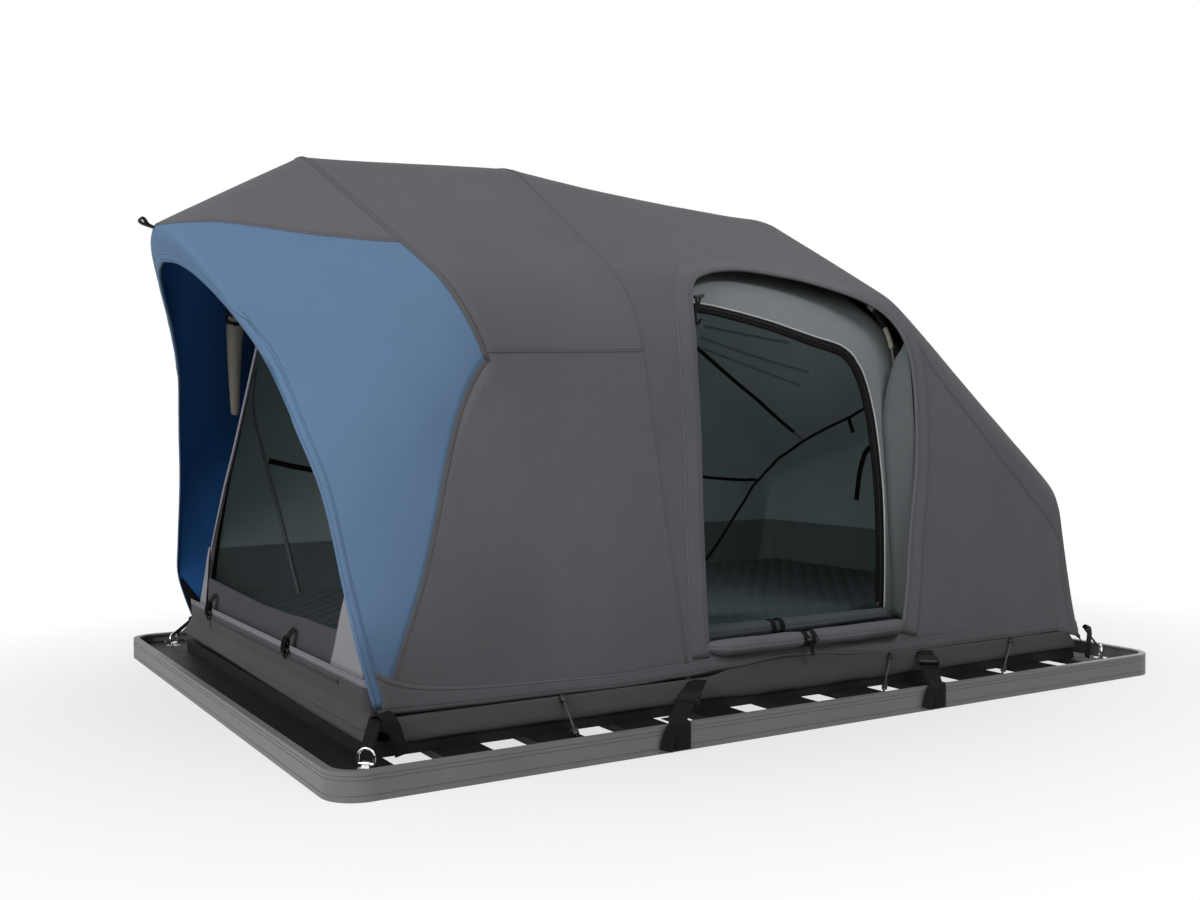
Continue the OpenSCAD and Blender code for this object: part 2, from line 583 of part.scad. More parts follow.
// frame with y along the slanting webbing, from its upper end
module at_strap(S, s) {
    mirror([0, s, 0]) translate([S[0], strap_y, 92]) rotate([0, 0, strap_turn(S)]) rotate([strap_a(S), 0, 0])
        children();
}

module side_straps() {
    color([0.035, 0.035, 0.04]) for (s = [0, 1]) for (S = [near_strap, cam_strap]) {
        at_strap(S, s) {
            translate([-side_strap_w / 2, 0, -0.9]) cube([side_strap_w, strap_len(S) * 0.42 - 25, 1.8]);
            translate([-side_strap_w / 2, strap_len(S) * 0.42 + 25, -0.9])
                cube([side_strap_w, strap_len(S) * 0.58 - 25, 1.8]);
        }
        mirror([0, s, 0]) translate([S[0] - S[1], 0, 0])
            web([[hy - 42, rail_h + 2.6], [hy + 1.4, rail_h + 1.6], [hy + 1.4, 3]], 1.8, side_strap_w);
    }
}

module at_buckle(S, s) {
    at_strap(S, s) translate([0, strap_len(S) * 0.42, 0]) children();
}

module buckle_bodies() {
    color([0.03, 0.03, 0.035]) for (s = [0, 1]) at_buckle(near_strap, s) difference() {
        translate([-24, -2, -6]) cube([48, 27, 12]);
        translate([-21, -3, -3.6]) cube([42, 20, 7.2]);
        for (e = [-1, 1]) translate([e * 23, 9, -7]) cylinder(r = 6, h = 14);
        translate([-20, 19, -7]) cube([40, 3, 14]);
    }
}

module tongue() {
    translate([-22, -25, -5]) difference() {
        cube([44, 21, 10]);
        translate([3, 4, -1]) cube([38, 3, 12]);
        translate([3, 12, -1]) cube([38, 3, 12]);
        translate([2.2, -1, 3.4]) cube([39.6, 20, 3.2]);
    }
    for (e = [-1, 1]) translate([e * 15 - 3.5, -5, -3]) cube([7, 20, 6]);
    translate([-5, -5, -3]) cube([10, 18, 6]);
}

module near_tongue() { color([0.045, 0.045, 0.05]) at_buckle(near_strap, 1) tongue(); }
module far_tongue() { color([0.045, 0.045, 0.05]) at_buckle(near_strap, 0) tongue(); }

module cam_bodies() {
    color([0.5, 0.5, 0.52]) for (s = [0, 1]) at_buckle(cam_strap, s) difference() {
        union() {
            translate([-23, -25, -2.4]) cube([46, 50, 2]);
            for (e = [-1, 1]) translate([e * 22 - 1.5, -12, -2.4]) cube([3, 24, 16]);
        }
        translate([-19.4, -19, -4]) cube([38.8, 4, 6]);
        translate([-19.4, 14, -4]) cube([38.8, 4, 6]);
        translate([-30, 0, 8]) rotate([0, 90, 0]) cylinder(r = 2.5 + run_c, h = 60);
    }
}

module cam_lever() {
    translate([-25, 0, 8]) rotate([0, 90, 0]) cylinder(r = 2.5, h = 50);
    difference() {
        union() {
            translate([-19.8, 0, 8]) rotate([0, 90, 0]) cylinder(r = 5, h = 39.6);
            translate([-19.8, -27, 9.6]) cube([39.6, 27, 2.6]);
        }
        translate([-30, 0, 8]) rotate([0, 90, 0]) cylinder(r = 2.4, h = 60);
    }
}

module near_cam_lever() { color([0.07, 0.07, 0.075]) at_buckle(cam_strap, 1) cam_lever(); }
module far_cam_lever() { color([0.07, 0.07, 0.075]) at_buckle(cam_strap, 0) cam_lever(); }

// ring clips stand on the end slats inside the tray corners
clip_f = 985 * kx;
clip_r = 994 * kx;
clip_y = 714 * ky;
clip_z = base_z;

module at_clip(i, j) {
    translate([i < 0 ? -clip_f : clip_r, j * clip_y, clip_z]) rotate([0, 0, atan2(-j, -i) - 90]) children();
}

module ring_clips() {
    color([0.55, 0.55, 0.57]) for (i = [-1, 1]) for (j = [-1, 1]) at_clip(i, j) difference() {
        union() {
            translate([-10, -16, 0]) cube([20, 32, 2]);
            translate([-7, 0, 6.2]) rotate([0, 90, 0]) cylinder(r = 5, h = 14);
            translate([-7, -5, 0]) cube([14, 10, 6.2]);
        }
        translate([-20, 0, 6.2]) rotate([0, 90, 0]) cylinder(r = 2.6 + run_c, h = 40);
    }
}

// ring with a straight bar through its clip
module dee_ring() {
    r = 2.6;
    w = 15;
    translate([-w, 0, 6.2]) rotate([0, 90, 0]) cylinder(r = r, h = 2 * w);
    for (s = [-1, 1]) translate([s * w, 0, 6.2]) {
        sphere(r = r);
        cylinder(r = r, h = 12);
    }
    translate([0, 0, 18.2]) rotate([90, 0, 0]) rotate_extrude(angle = 180) translate([w, 0]) circle(r = r);
}

module near_front_ring() { color([0.8, 0.8, 0.82]) at_clip(-1, -1) dee_ring(); }
module far_front_ring() { color([0.8, 0.8, 0.82]) at_clip(-1, 1) dee_ring(); }
module near_rear_ring() { color([0.8, 0.8, 0.82]) at_clip(1, -1) dee_ring(); }
module far_rear_ring() { color([0.8, 0.8, 0.82]) at_clip(1, 1) dee_ring(); }

module corner_straps() {
    color([0.035, 0.035, 0.04]) for (i = [-1, 1]) for (j = [-1, 1])
        let (c = [i < 0 ? -clip_f : clip_r, j * clip_y],
            f = i < 0 ? [-945.5 * kx, j * 662 * ky] : [972 * kx, j * 681 * ky],
            d = norm(f - c), a = atan2(f[1] - c[1], f[0] - c[0]))
        translate([c[0], c[1], 0]) rotate([0, 0, a - 90])
            web([[i < 0 ? 4.8 : 5.5, clip_z + 31], [d - 1, hem_z + 5]], 1.8, corner_strap_w);
}

module rod(a, b, r) {
    d = b - a;
    translate(a) rotate([0, acos(d[2] / norm(d)), atan2(d[1], d[0])]) cylinder(r = r, h = norm(d), $fn = 20);
}

module hem_cords() {
    color([0.03, 0.03, 0.035]) for (s = [0, 1], x = [[-562, -566], [311, 229], [721, 615]]) mirror([0, s, 0])
        rod([x[0] * kx, base_hy - 7, 97.5], [x[1] * kx, base_hy + 58, base_z + 2.6], 2.6);
}

near_side_rail();
far_side_rail();
front_rail();
rear_rail();
corner_pieces();
cross_slats();
slat_bolts();
base_panel();
floor_tub();
sill_binding();
sill_zip();
zip_slider();
mattress();
hoop_brackets();
hinge_pins();
front_hoop();
front_hoop_feet();
front_hub();
brow_pole();
brow_tip();
mid_hoop();
mid_hoop_feet();
rear_hoop();
rear_hoop_feet();
rear_sleeves();
front_sleeves();
tail_hoop();
tail_hoop_feet();
fly_main();
fly_front();
fly_awning();
peak_tab();
inner_canopy();
door_zip();
fly_door_roll();
inner_door_roll();
front_door_panel();
front_flap_roll();
door_toggles();
side_straps();
buckle_bodies();
near_tongue();
far_tongue();
cam_bodies();
near_cam_lever();
far_cam_lever();
corner_straps();
ring_clips();
near_front_ring();
far_front_ring();
near_rear_ring();
far_rear_ring();
hem_cords();
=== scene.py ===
from math import atan2, cos, hypot, pi, radians, sin

import bmesh
import bpy
from mathutils import Matrix, Vector, noise


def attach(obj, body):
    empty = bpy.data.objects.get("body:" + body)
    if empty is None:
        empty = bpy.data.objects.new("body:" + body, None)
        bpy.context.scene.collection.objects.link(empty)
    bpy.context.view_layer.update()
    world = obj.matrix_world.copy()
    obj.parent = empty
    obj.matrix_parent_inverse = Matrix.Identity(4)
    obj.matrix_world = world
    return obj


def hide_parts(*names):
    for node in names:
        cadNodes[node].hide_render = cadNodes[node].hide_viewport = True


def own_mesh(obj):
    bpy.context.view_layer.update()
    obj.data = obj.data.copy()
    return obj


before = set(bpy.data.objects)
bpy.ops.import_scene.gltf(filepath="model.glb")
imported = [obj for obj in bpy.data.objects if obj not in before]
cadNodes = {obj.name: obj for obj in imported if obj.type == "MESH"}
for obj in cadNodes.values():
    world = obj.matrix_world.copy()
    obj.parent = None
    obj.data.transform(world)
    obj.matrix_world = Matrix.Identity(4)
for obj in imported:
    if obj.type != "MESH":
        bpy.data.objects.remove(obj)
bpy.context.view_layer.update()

scene = bpy.context.scene
scene.view_settings.view_transform = "Standard"
print("frame:", len(cadNodes), "nodes")

# camera where the photograph was taken from, metres and radians
photoView = {"eye": (-1.7847, -2.7991, 0.6266), "yaw": 0.5496, "pitch": 0.0198, "lens": 38.0}


def addCamera():
    yaw, pitch = photoView["yaw"], photoView["pitch"]
    ahead = Vector((sin(yaw) * cos(pitch), cos(yaw) * cos(pitch), -sin(pitch)))
    camera = bpy.data.objects.new("photoCamera", bpy.data.cameras.new("photoCamera"))
    camera.data.sensor_width = 36
    camera.data.lens = photoView["lens"]
    camera.location = photoView["eye"]
    camera.rotation_euler = ahead.to_track_quat("-Z", "Y").to_euler()
    scene.collection.objects.link(camera)
    scene.camera = camera


addCamera()
print("camera set")


# node helpers for the finishes
def wire(tree, kind, ins=None, **settings):
    step = tree.nodes.new("ShaderNode" + kind)
    for key, value in settings.items():
        setattr(step, key, value)
    for key, value in (ins or {}).items():
        if isinstance(value, bpy.types.NodeSocket):
            tree.links.new(value, step.inputs[key])
        else:
            step.inputs[key].default_value = value
    return step


def calc(tree, job, a, b=0.0):
    return wire(tree, "Math", {0: a, 1: b}, operation=job).outputs[0]


# sum of values, each with its weight
def weighed(tree, *pairs):
    terms = [calc(tree, "MULTIPLY", value, k) for value, k in pairs]
    total = terms[0]
    for term in terms[1:]:
        total = calc(tree, "ADD", total, term)
    return total


def blendTone(tree, amount, a, b):
    ends = [(*tone, 1) if isinstance(tone, tuple) else tone for tone in (a, b)]
    return wire(tree, "Mix", {0: amount, 6: ends[0], 7: ends[1]}, data_type="RGBA").outputs[2]


def span(tree, value, low, high, toLow=0.0, toHigh=1.0):
    return wire(tree, "MapRange", {0: value, 1: low, 2: high, 3: toLow, 4: toHigh}).outputs[0]


def noiseOf(tree, where, scale, detail=3.0, stretch=None):
    if stretch:
        where = wire(tree, "Mapping", {"Vector": where, "Scale": stretch}).outputs[0]
    return wire(tree, "TexNoise", {"Vector": where, "Scale": scale, "Detail": detail}).outputs[0]


def newFinish(name, rough, sockets=None):
    mat = bpy.data.materials.new(name)
    mat.use_nodes = True
    shader = mat.node_tree.nodes["Principled BSDF"]
    shader.inputs["Roughness"].default_value = rough
    for key, value in (sockets or {}).items():
        shader.inputs[key].default_value = value
    return mat, mat.node_tree, shader


def scaled(tone, k):
    return tuple(min(c * k, 1.0) for c in tone)


def bumpTo(tree, shader, height, strength, distance=0.001):
    bump = wire(tree, "Bump", {"Strength": strength, "Distance": distance, "Height": height})
    tree.links.new(bump.outputs[0], shader.inputs["Normal"])


# woven cloth on UVs in metres: thread grid, flecks, slow clouding and rows of stitches; low paints a darker
# tone below a height, a painted shade
weave = {"fleck": 620.0, "slub": 90.0, "stitchHalf": 0.0008, "dash": 0.0048, "stitchFill": 0.7,
         "groove": 0.003, "fade": 0.004}


def clothFinish(name, tone, spread=0.14, thread=0.0019, rough=0.86, bump=0.35, sheen=0.04, rows=(),
                stitchTone=None, cloud=3.0, low=None, shine=0.2):
    mat, tree, shader = newFinish(name, rough, {"Sheen Weight": sheen, "Sheen Roughness": 0.5,
                                                "Specular IOR Level": shine})
    coords = wire(tree, "TexCoord")
    uv = wire(tree, "SeparateXYZ", {0: coords.outputs["UV"]})
    along, across = uv.outputs[0], uv.outputs[1]
    warp = calc(tree, "SINE", calc(tree, "MULTIPLY", along, 2 * pi / thread))
    weft = calc(tree, "SINE", calc(tree, "MULTIPLY", across, 2 * pi / thread))
    threads = calc(tree, "MULTIPLY", warp, weft)
    slow = noiseOf(tree, coords.outputs["Object"], cloud, 5.0)
    fleck = noiseOf(tree, coords.outputs["UV"], weave["fleck"], 2.0)
    slub = noiseOf(tree, coords.outputs["UV"], weave["slub"], 2.0, (1.0, 9.0, 1.0))
    mixed = weighed(tree, (slow, 0.5), (fleck, 0.3), (slub, 0.2))
    clouds = span(tree, mixed, 0.36, 0.64)
    colour = blendTone(tree, clouds, scaled(tone, 1 - spread), scaled(tone, 1 + spread))
    height = weighed(tree, (threads, 0.25), (fleck, 0.5))
    stitches = None
    for row in rows:
        off = calc(tree, "ABSOLUTE", calc(tree, "SUBTRACT", across, row))
        line = calc(tree, "LESS_THAN", off, weave["stitchHalf"])
        place = calc(tree, "FRACT", calc(tree, "DIVIDE", along, weave["dash"]))
        gap = calc(tree, "LESS_THAN", place, weave["stitchFill"])
        height = calc(tree, "ADD", height, span(tree, off, 0.0, weave["groove"], -1.2, 0.0))
        stitch = calc(tree, "MULTIPLY", line, gap)
        stitches = calc(tree, "MAXIMUM", stitches, stitch) if stitches else stitch
    if stitches:
        colour = blendTone(tree, stitches, colour, stitchTone or scaled(tone, 0.45))
        height = calc(tree, "ADD", height, calc(tree, "MULTIPLY", stitches, 1.6))
    # painted shade: below the height low[0] the tone blends towards the darker low[1]
    if low:
        level = wire(tree, "SeparateXYZ", {0: coords.outputs["Object"]}).outputs[2]
        upper = span(tree, level, low[0], low[0] + weave["fade"])
        colour = blendTone(tree, upper, blendTone(tree, 0.8, colour, low[1]), colour)
    tree.links.new(colour, shader.inputs["Base Color"])
    tree.links.new(span(tree, slow, 0.3, 0.7, rough - 0.06, rough + 0.05), shader.inputs["Roughness"])
    bumpTo(tree, shader, height, bump)
    return mat


# rigid finishes on Object coordinates: fine grain, slow clouding, scuffs along one axis
def solidFinish(name, tone, rough=0.5, metal=0.0, grain=900.0, grainBump=0.15, scuff=0.12,
                stretch=(1.0, 14.0, 14.0), shine=0.5):
    mat, tree, shader = newFinish(name, rough, {"Metallic": metal, "Specular IOR Level": shine})
    where = wire(tree, "TexCoord").outputs["Object"]
    fine = noiseOf(tree, where, grain, 2.0)
    slow = noiseOf(tree, where, 6.0, 4.0)
    marks = noiseOf(tree, where, 9.0, 6.0, stretch)
    worn = span(tree, marks, 0.56, 0.74)
    mixed = weighed(tree, (fine, 0.5), (slow, 0.5))
    colour = blendTone(tree, span(tree, mixed, 0.35, 0.65), scaled(tone, 0.9), scaled(tone, 1.1))
    colour = blendTone(tree, calc(tree, "MULTIPLY", worn, scuff), colour, scaled(tone, 1.9))
    tree.links.new(colour, shader.inputs["Base Color"])
    dull = calc(tree, "ADD", slow, calc(tree, "MULTIPLY", worn, 0.3))
    tree.links.new(span(tree, dull, 0.3, 0.9, rough - 0.07, rough + 0.1), shader.inputs["Roughness"])
    bumpTo(tree, shader, fine, grainBump, 0.0006)
    return mat


# flat webbing: ribs along the length, a herringbone between them
def webbingFinish(name, tone):
    mat, tree, shader = newFinish(name, 0.7, {"Sheen Weight": 0.01, "Specular IOR Level": 0.09})
    coords = wire(tree, "TexCoord")
    uv = wire(tree, "SeparateXYZ", {0: coords.outputs["UV"]})
    zig = calc(tree, "PINGPONG", uv.outputs[1], 0.0045)
    cord = calc(tree, "SINE", calc(tree, "MULTIPLY", calc(tree, "ADD", uv.outputs[0], zig), 2 * pi / 0.0022))
    rib = calc(tree, "SINE", calc(tree, "MULTIPLY", uv.outputs[1], 2 * pi / 0.0045))
    fleck = noiseOf(tree, coords.outputs["UV"], 500.0, 2.0)
    height = weighed(tree, (cord, 0.4), (rib, 0.4))
    tint = span(tree, calc(tree, "ADD", fleck, calc(tree, "MULTIPLY", cord, 0.15)), 0.25, 0.75)
    colour = blendTone(tree, tint, scaled(tone, 0.7), scaled(tone, 1.5))
    tree.links.new(colour, shader.inputs["Base Color"])
    tree.links.new(span(tree, fleck, 0.3, 0.7, 0.62, 0.8), shader.inputs["Roughness"])
    bumpTo(tree, shader, height, 0.5)
    return mat


# navy: the awning's inner blue, brightened as painted light through the cloth
# roomIn: lighter than room, painted light for the inside of the room
# sill: the tub cloth darkened, a painted shade
tones = {
    "fly": (0.112, 0.110, 0.121), "blue": (0.105, 0.183, 0.300), "navyWithPaintedLight": (0.020, 0.112, 0.345),
    "room": (0.208, 0.233, 0.240), "roomIn": (0.236, 0.300, 0.308), "tub": (0.094, 0.092, 0.101),
    "bed": (0.027, 0.042, 0.048), "sand": (0.27, 0.25, 0.205), "teal": (0.050, 0.062, 0.070),
    "black": (0.006, 0.006, 0.007), "binding": (0.235, 0.230, 0.252), "panel": (0.055, 0.054, 0.062),
    "jamb": (0.290, 0.288, 0.315), "sill": (0.052, 0.051, 0.057),
}
flyCloth = clothFinish("flyCloth", tones["fly"])
flyInside = clothFinish("flyInside", scaled(tones["fly"], 0.75), rough=0.6, bump=0.2)
flySeam = clothFinish("flySeam", scaled(tones["fly"], 0.97), rows=(0.0012,))
flyFacing = clothFinish("flyFacing", scaled(tones["fly"], 1.06), rows=(0.005, 0.010, 0.042))
flyHem = clothFinish("flyHem", scaled(tones["fly"], 0.98), rows=(0.004, 0.021))
awningBlue = clothFinish("awningBlue", tones["blue"], spread=0.09)
# inner face of the blue cloth: its blue brightened as painted light standing in for light through the cloth
awningInsidePaintedLight = clothFinish("awningInsidePaintedLight", tones["navyWithPaintedLight"], spread=0.12)
awningEdge = clothFinish("awningEdge", scaled(tones["blue"], 1.02), rows=(0.0045, 0.0165))
roomCloth = clothFinish("roomCloth", tones["room"], thread=0.0016, sheen=0.02)
# the room cloth at half tone: a painted shade for the hoop strips
roomClothPaintedShade = clothFinish("roomClothPaintedShade", scaled(tones["room"], 0.5), thread=0.0016, sheen=0.02)
# inner face of the room: a lighter, greener copy of the room cloth as painted light in the dim room, with a
# painted shade below 0.306 m
roomInsidePaintedLightAndShade = clothFinish("roomInsidePaintedLightAndShade", tones["roomIn"], thread=0.0016, sheen=0.02,
                         low=(0.306, scaled(tones["roomIn"], 0.27)))
jambCloth = clothFinish("jambCloth", tones["jamb"], rows=(0.0035, 0.0165))
# the tub cloth at about half tone: a painted shade on the sill, the skirt under the hem and the sill zip tape
tubClothPaintedShade = clothFinish("tubClothPaintedShade", tones["sill"], thread=0.0026, rough=0.68, bump=0.25)
paleCord = clothFinish("paleCord", (0.55, 0.57, 0.58), thread=0.0012)
roomSeam = clothFinish("roomSeam", scaled(tones["room"], 0.8), rows=(-0.004, 0.004))
# dark cloth for strips and seams, also for a painted pole shadow inside the roof
darkStripAndPaintedShadow = clothFinish("darkStripAndPaintedShadow", (0.009, 0.010, 0.011), sheen=0.0, rows=(-0.004, 0.004), shine=0.08)
tubCloth = clothFinish("tubCloth", tones["tub"], thread=0.0026, rough=0.62, bump=0.25)
sillBinding = clothFinish("sillBinding", tones["binding"], rows=(0.0025, 0.0105))
bedCloth = clothFinish("bedCloth", tones["bed"], thread=0.0024, rough=0.7, bump=0.5, cloud=7.0)
sandCloth = clothFinish("sandCloth", tones["sand"], cloud=8.0)
tealCloth = clothFinish("tealCloth", tones["teal"], cloud=8.0, rough=0.7)
rollCloth = clothFinish("rollCloth", scaled(tones["fly"], 1.02), cloud=9.0)
panelCloth = clothFinish("panelCloth", tones["panel"], cloud=7.0)
zipTape = clothFinish("zipTape", tones["black"], thread=0.0012, rough=0.75, sheen=0.0, rows=(-0.006, 0.006),
                      stitchTone=(0.02, 0.02, 0.022), shine=0.06)
webbing = webbingFinish("webbing", (0.007, 0.007, 0.008))
zipTeeth = solidFinish("zipTeeth", (0.007, 0.007, 0.008), 0.5, grain=1400.0, shine=0.12)
sillTeethGrey = solidFinish("sillTeethGrey", (0.046, 0.045, 0.050), 0.6, grain=1400.0, shine=0.2)
railCoat = solidFinish("railCoat", (0.155, 0.155, 0.152), 0.5, grain=1500.0, grainBump=0.3, scuff=0.06)
cornerCoat = solidFinish("cornerCoat", (0.16, 0.16, 0.157), 0.46, grain=1500.0, grainBump=0.25, scuff=0.08)
slatCoat = solidFinish("slatCoat", (0.008, 0.008, 0.009), 0.55, grain=1300.0, grainBump=0.25, scuff=0.1,
                       stretch=(14.0, 1.0, 14.0), shine=0.12)
zincSteel = solidFinish("zincSteel", (0.5, 0.5, 0.5), 0.34, 1.0, grain=400.0, scuff=0.2)
chromeSteel = solidFinish("chromeSteel", (0.72, 0.72, 0.74), 0.14, 1.0, grain=300.0, grainBump=0.03,
                          scuff=0.06)
panelBoard = solidFinish("panelBoard", (0.010, 0.010, 0.011), 0.6, grain=800.0, grainBump=0.4, shine=0.15)
poleCoat = solidFinish("poleCoat", (0.02, 0.02, 0.022), 0.35, grain=700.0, scuff=0.15)
alloyTip = solidFinish("alloyTip", (0.45, 0.46, 0.47), 0.32, 1.0, grain=500.0, scuff=0.15)
mouldedBlack = solidFinish("mouldedBlack", (0.012, 0.012, 0.013), 0.42, grain=1200.0, grainBump=0.3,
                           scuff=0.1, shine=0.35)
print("finishes made:", len(bpy.data.materials))

nodeFinish = (
    (railCoat, ("near_side_rail", "far_side_rail", "front_rail", "rear_rail")),
    (cornerCoat, ("corner_pieces",)), (slatCoat, ("cross_slats",)), (panelBoard, ("base_panel",)),
    (alloyTip, ("brow_tip",)),
    (zincSteel, ("slat_bolts", "hinge_pins", "ring_clips")),
    (poleCoat, ("front_hoop", "brow_pole", "mid_hoop", "rear_hoop", "tail_hoop")),
    (chromeSteel, ("near_front_ring", "far_front_ring", "near_rear_ring", "far_rear_ring")),
    (mouldedBlack, ("zip_slider", "hoop_brackets", "front_hoop_feet", "front_hub", "mid_hoop_feet",
                    "rear_hoop_feet", "tail_hoop_feet", "buckle_bodies", "near_tongue", "far_tongue",
                    "cam_bodies", "near_cam_lever", "far_cam_lever")),
)
for finish, names in nodeFinish:
    for nodeName in names:
        cadNodes[nodeName].data.materials.clear()
        cadNodes[nodeName].data.materials.append(finish)
print("node finishes set:", sum(len(names) for finish, names in nodeFinish))


# the tent's lines, millimetres; a hoop is foot x, lean, foot half width, wall half width, wall height,
# shoulder radius, roof slope, crown radius
tent = {
    "footZ": 80, "hemZ": 100, "seam": 10, "peakX": 1190, "peakUp": 72, "peakOut": 12, "roomFoot": 592,
    "tailX": 1008, "tailCut": 40, "tailOut": 20, "tailHalf": 686, "tailDrop": 12,
    "roomUp": 57.9, "roomIn": 14, "roomTailX": 946, "roomTailZ": 137.9, "roomTailNarrow": 0.968,
    "front": (-429, 21, 645, 577, 735, 250, 34.5, 100), "mid": (-253, 5.5, 648, 582, 702, 260, 35, 250),
    "rear": (445, 1.2, 612, 548, 697, 200, 33, 250), "tail": (894, -9, 645, 610, 302, 130, 14, 380),
    "flyRear": (445, 1.2, 650, 597, 719, 180, 28, 220), "flyTail": (902, -9, 645, 612, 304, 130, 14, 380),
    "brow": [(-945, 660, 108), (-980, 668, 220), (-991, 630, 318), (-1004, 552, 490), (-1024, 466, 612),
             (-1050, 352, 750), (-1088, 256, 850), (-1126, 172, 922), (-1152, 90, 962), (-1165, 0, 976)],
    "roomFront": [(-944, 560, 138), (-938, 505, 300), (-930, 440, 425), (-921, 368, 550), (-913, 298, 675),
                  (-904, 224, 800), (-894, 150, 905), (-884, 80, 985), (-880, 36, 1015), (-878, 0, 1024)],
    "flyDoor": [(-200, 138), (-199, 278), (-195, 444), (-190, 609), (-191, 760), (-186, 850), (-166, 914),
                (-128, 951), (-78, 970), (-12, 984), (73, 989), (196, 976), (281, 951), (357, 912), (394, 870),
                (415, 820), (430, 751), (433, 638), (424, 515), (396, 360), (376, 239), (356, 138)],
    "roomDoor": [(-196, 172), (-196, 400), (-196, 700), (-190, 820), (-160, 880), (-100, 884), (-30, 872),
                 (80, 850), (190, 822), (280, 798), (325, 745), (352, 672), (367, 580), (375, 447), (371, 290),
                 (362, 172)],
    "baySag": (0, 0, 9, -4, 0),
    "turnOver": {0: (0.3, 0.045), 1: (0.02, 0.02), 2: (0.03, 0.03), 3: (0.05, 0.05), 4: (0.05, 0.05)},
    "hemArch": [(-400, 0), (-270, 5), (-150, 12.5), (0, 22.5), (70, 20), (210, 9), (350, 0)],
}


def mix(a, b, q):
    return a + (b - a) * q


def between(a, b, n):
    return [mix(a, b, k / n) for k in range(n + 1)]


def ramp(a, b, v):
    q = min(max((v - a) / (b - a), 0.0), 1.0)
    return q * q * (3 - 2 * q)


def hoopFacts(h):
    footX, lean, foot, wall, height, shoulder, slope, crown = h
    a, m = atan2(foot - wall, height), radians(slope)
    run = (wall - shoulder * (cos(a) - sin(m)) - crown * sin(m)) / cos(m)
    top = height + shoulder * (cos(m) - sin(a)) + run * sin(m) + crown * (1 - cos(m))
    return {"x": footX, "lean": radians(lean), "foot": foot, "wall": wall, "height": height, "r": shoulder,
            "crown": crown, "a": a, "b": pi / 2 - m, "cy": wall - shoulder * cos(a),
            "cz": height - shoulder * sin(a), "k": top - crown}


def roomHoop(h):
    wall = min(h[3], tent["roomFoot"] - 17)
    height = h[4] - h[5] * (sin(atan2(h[2] - h[3], h[4])) - sin(atan2(tent["roomFoot"] - wall, h[4])))
    return (h[0], h[1], tent["roomFoot"], wall, height, h[5], h[6], h[7])


hoops = {name: hoopFacts(tent[name]) for name in ("front", "mid", "rear", "tail", "flyRear", "flyTail")}
roomHoops = {name: hoopFacts(roomHoop(tent[name])) for name in ("front", "mid", "rear", "tail")}


# point on a hoop's arch, t from foot to crown, o outwards
# the wall ends at t = 0.3, the shoulder at 0.56, the roof's slope at 0.84
def archPoint(f, t, o):
    a, b, r, c = f["a"], f["b"], f["r"] + o, f["crown"] + o
    if t < 0.3:
        y = mix(f["foot"], f["wall"], t / 0.3) + o * cos(a)
        d = f["height"] * t / 0.3 + o * sin(a)
    elif t < 0.56:
        g = mix(a, b, (t - 0.3) / 0.26)
        y, d = f["cy"] + r * cos(g), f["cz"] + r * sin(g)
    elif t < 0.84:
        q = (t - 0.56) / 0.28
        y = mix(f["cy"] + r * cos(b), c * cos(b), q)
        d = mix(f["cz"] + r * sin(b), f["k"] + c * sin(b), q)
    else:
        g = mix(b, pi / 2, (t - 0.84) / 0.16)
        y, d = c * cos(g), f["k"] + c * sin(g)
    return Vector((f["x"] - d * sin(f["lean"]), y, tent["footZ"] + d * cos(f["lean"])))


def runAt(points, t):
    n = len(points) - 1
    s = min(max(t, 0.0) * n, n - 0.0001)
    i = int(s)
    q = s - i
    a, b, c, d = (Vector(points[k]) for k in (max(i - 1, 0), i, i + 1, min(i + 2, n)))
    return 0.5 * (2 * b + (c - a) * q + (2 * a - 5 * b + 4 * c - d) * q ** 2 + (3 * b - a - 3 * c + d) * q ** 3)


# a smooth path of n steps through pairs
def pathThrough(pairs, n):
    points = [(a, b, 0) for a, b in pairs]
    return [tuple(runAt(points, k / n))[:2] for k in range(n + 1)]


def flyArch(f, t):
    hem = 0.3 * (tent["hemZ"] - tent["footZ"]) / (f["height"] * cos(f["lean"]))
    return archPoint(f, mix(hem, 1, t), tent["seam"])


def flyRow(i, t):
    if i == 0:
        lift = Vector((-tent["brow"][9][0] - tent["peakX"], tent["peakOut"] * (1 - t), tent["peakUp"]))
        return runAt(tent["brow"], t) + ramp(0.45, 1, t) * lift
    if i == 5:
        p = flyArch(hoops["flyTail"], t)
        y = min(p.y + tent["tailOut"] * ramp(0.5, 0, t), tent["tailHalf"])
        return Vector((tent["tailX"] - tent["tailCut"] * ramp(0.3, 0, t), y, tent["hemZ"] - tent["tailDrop"]))
    return flyArch(hoops[("front", "mid", "flyRear", "flyTail")[i - 1]], t)


# ahead of the brow line the cloth drops to the opening's edge, at u = -1
def flyBay(u, t):
    if u < 0:
        q = min(-u, 1.0)
        return flyRow(0, t) * (1 - q) + runAt(tent["brow"], t) * q
    i = min(max(int(u), 0), 4)
    q = u - i
    p = flyRow(i, t) * (1 - q) + flyRow(i + 1, t) * q
    if tent["baySag"][i]:
        dip = 4 * q * (1 - q) * tent["baySag"][i]
        p.y -= dip * 0.7 * ramp(0, 0.25, t) * (1 - ramp(0.5, 0.9, t))
        p.z -= dip * ramp(0.35, 0.8, t)
    return p


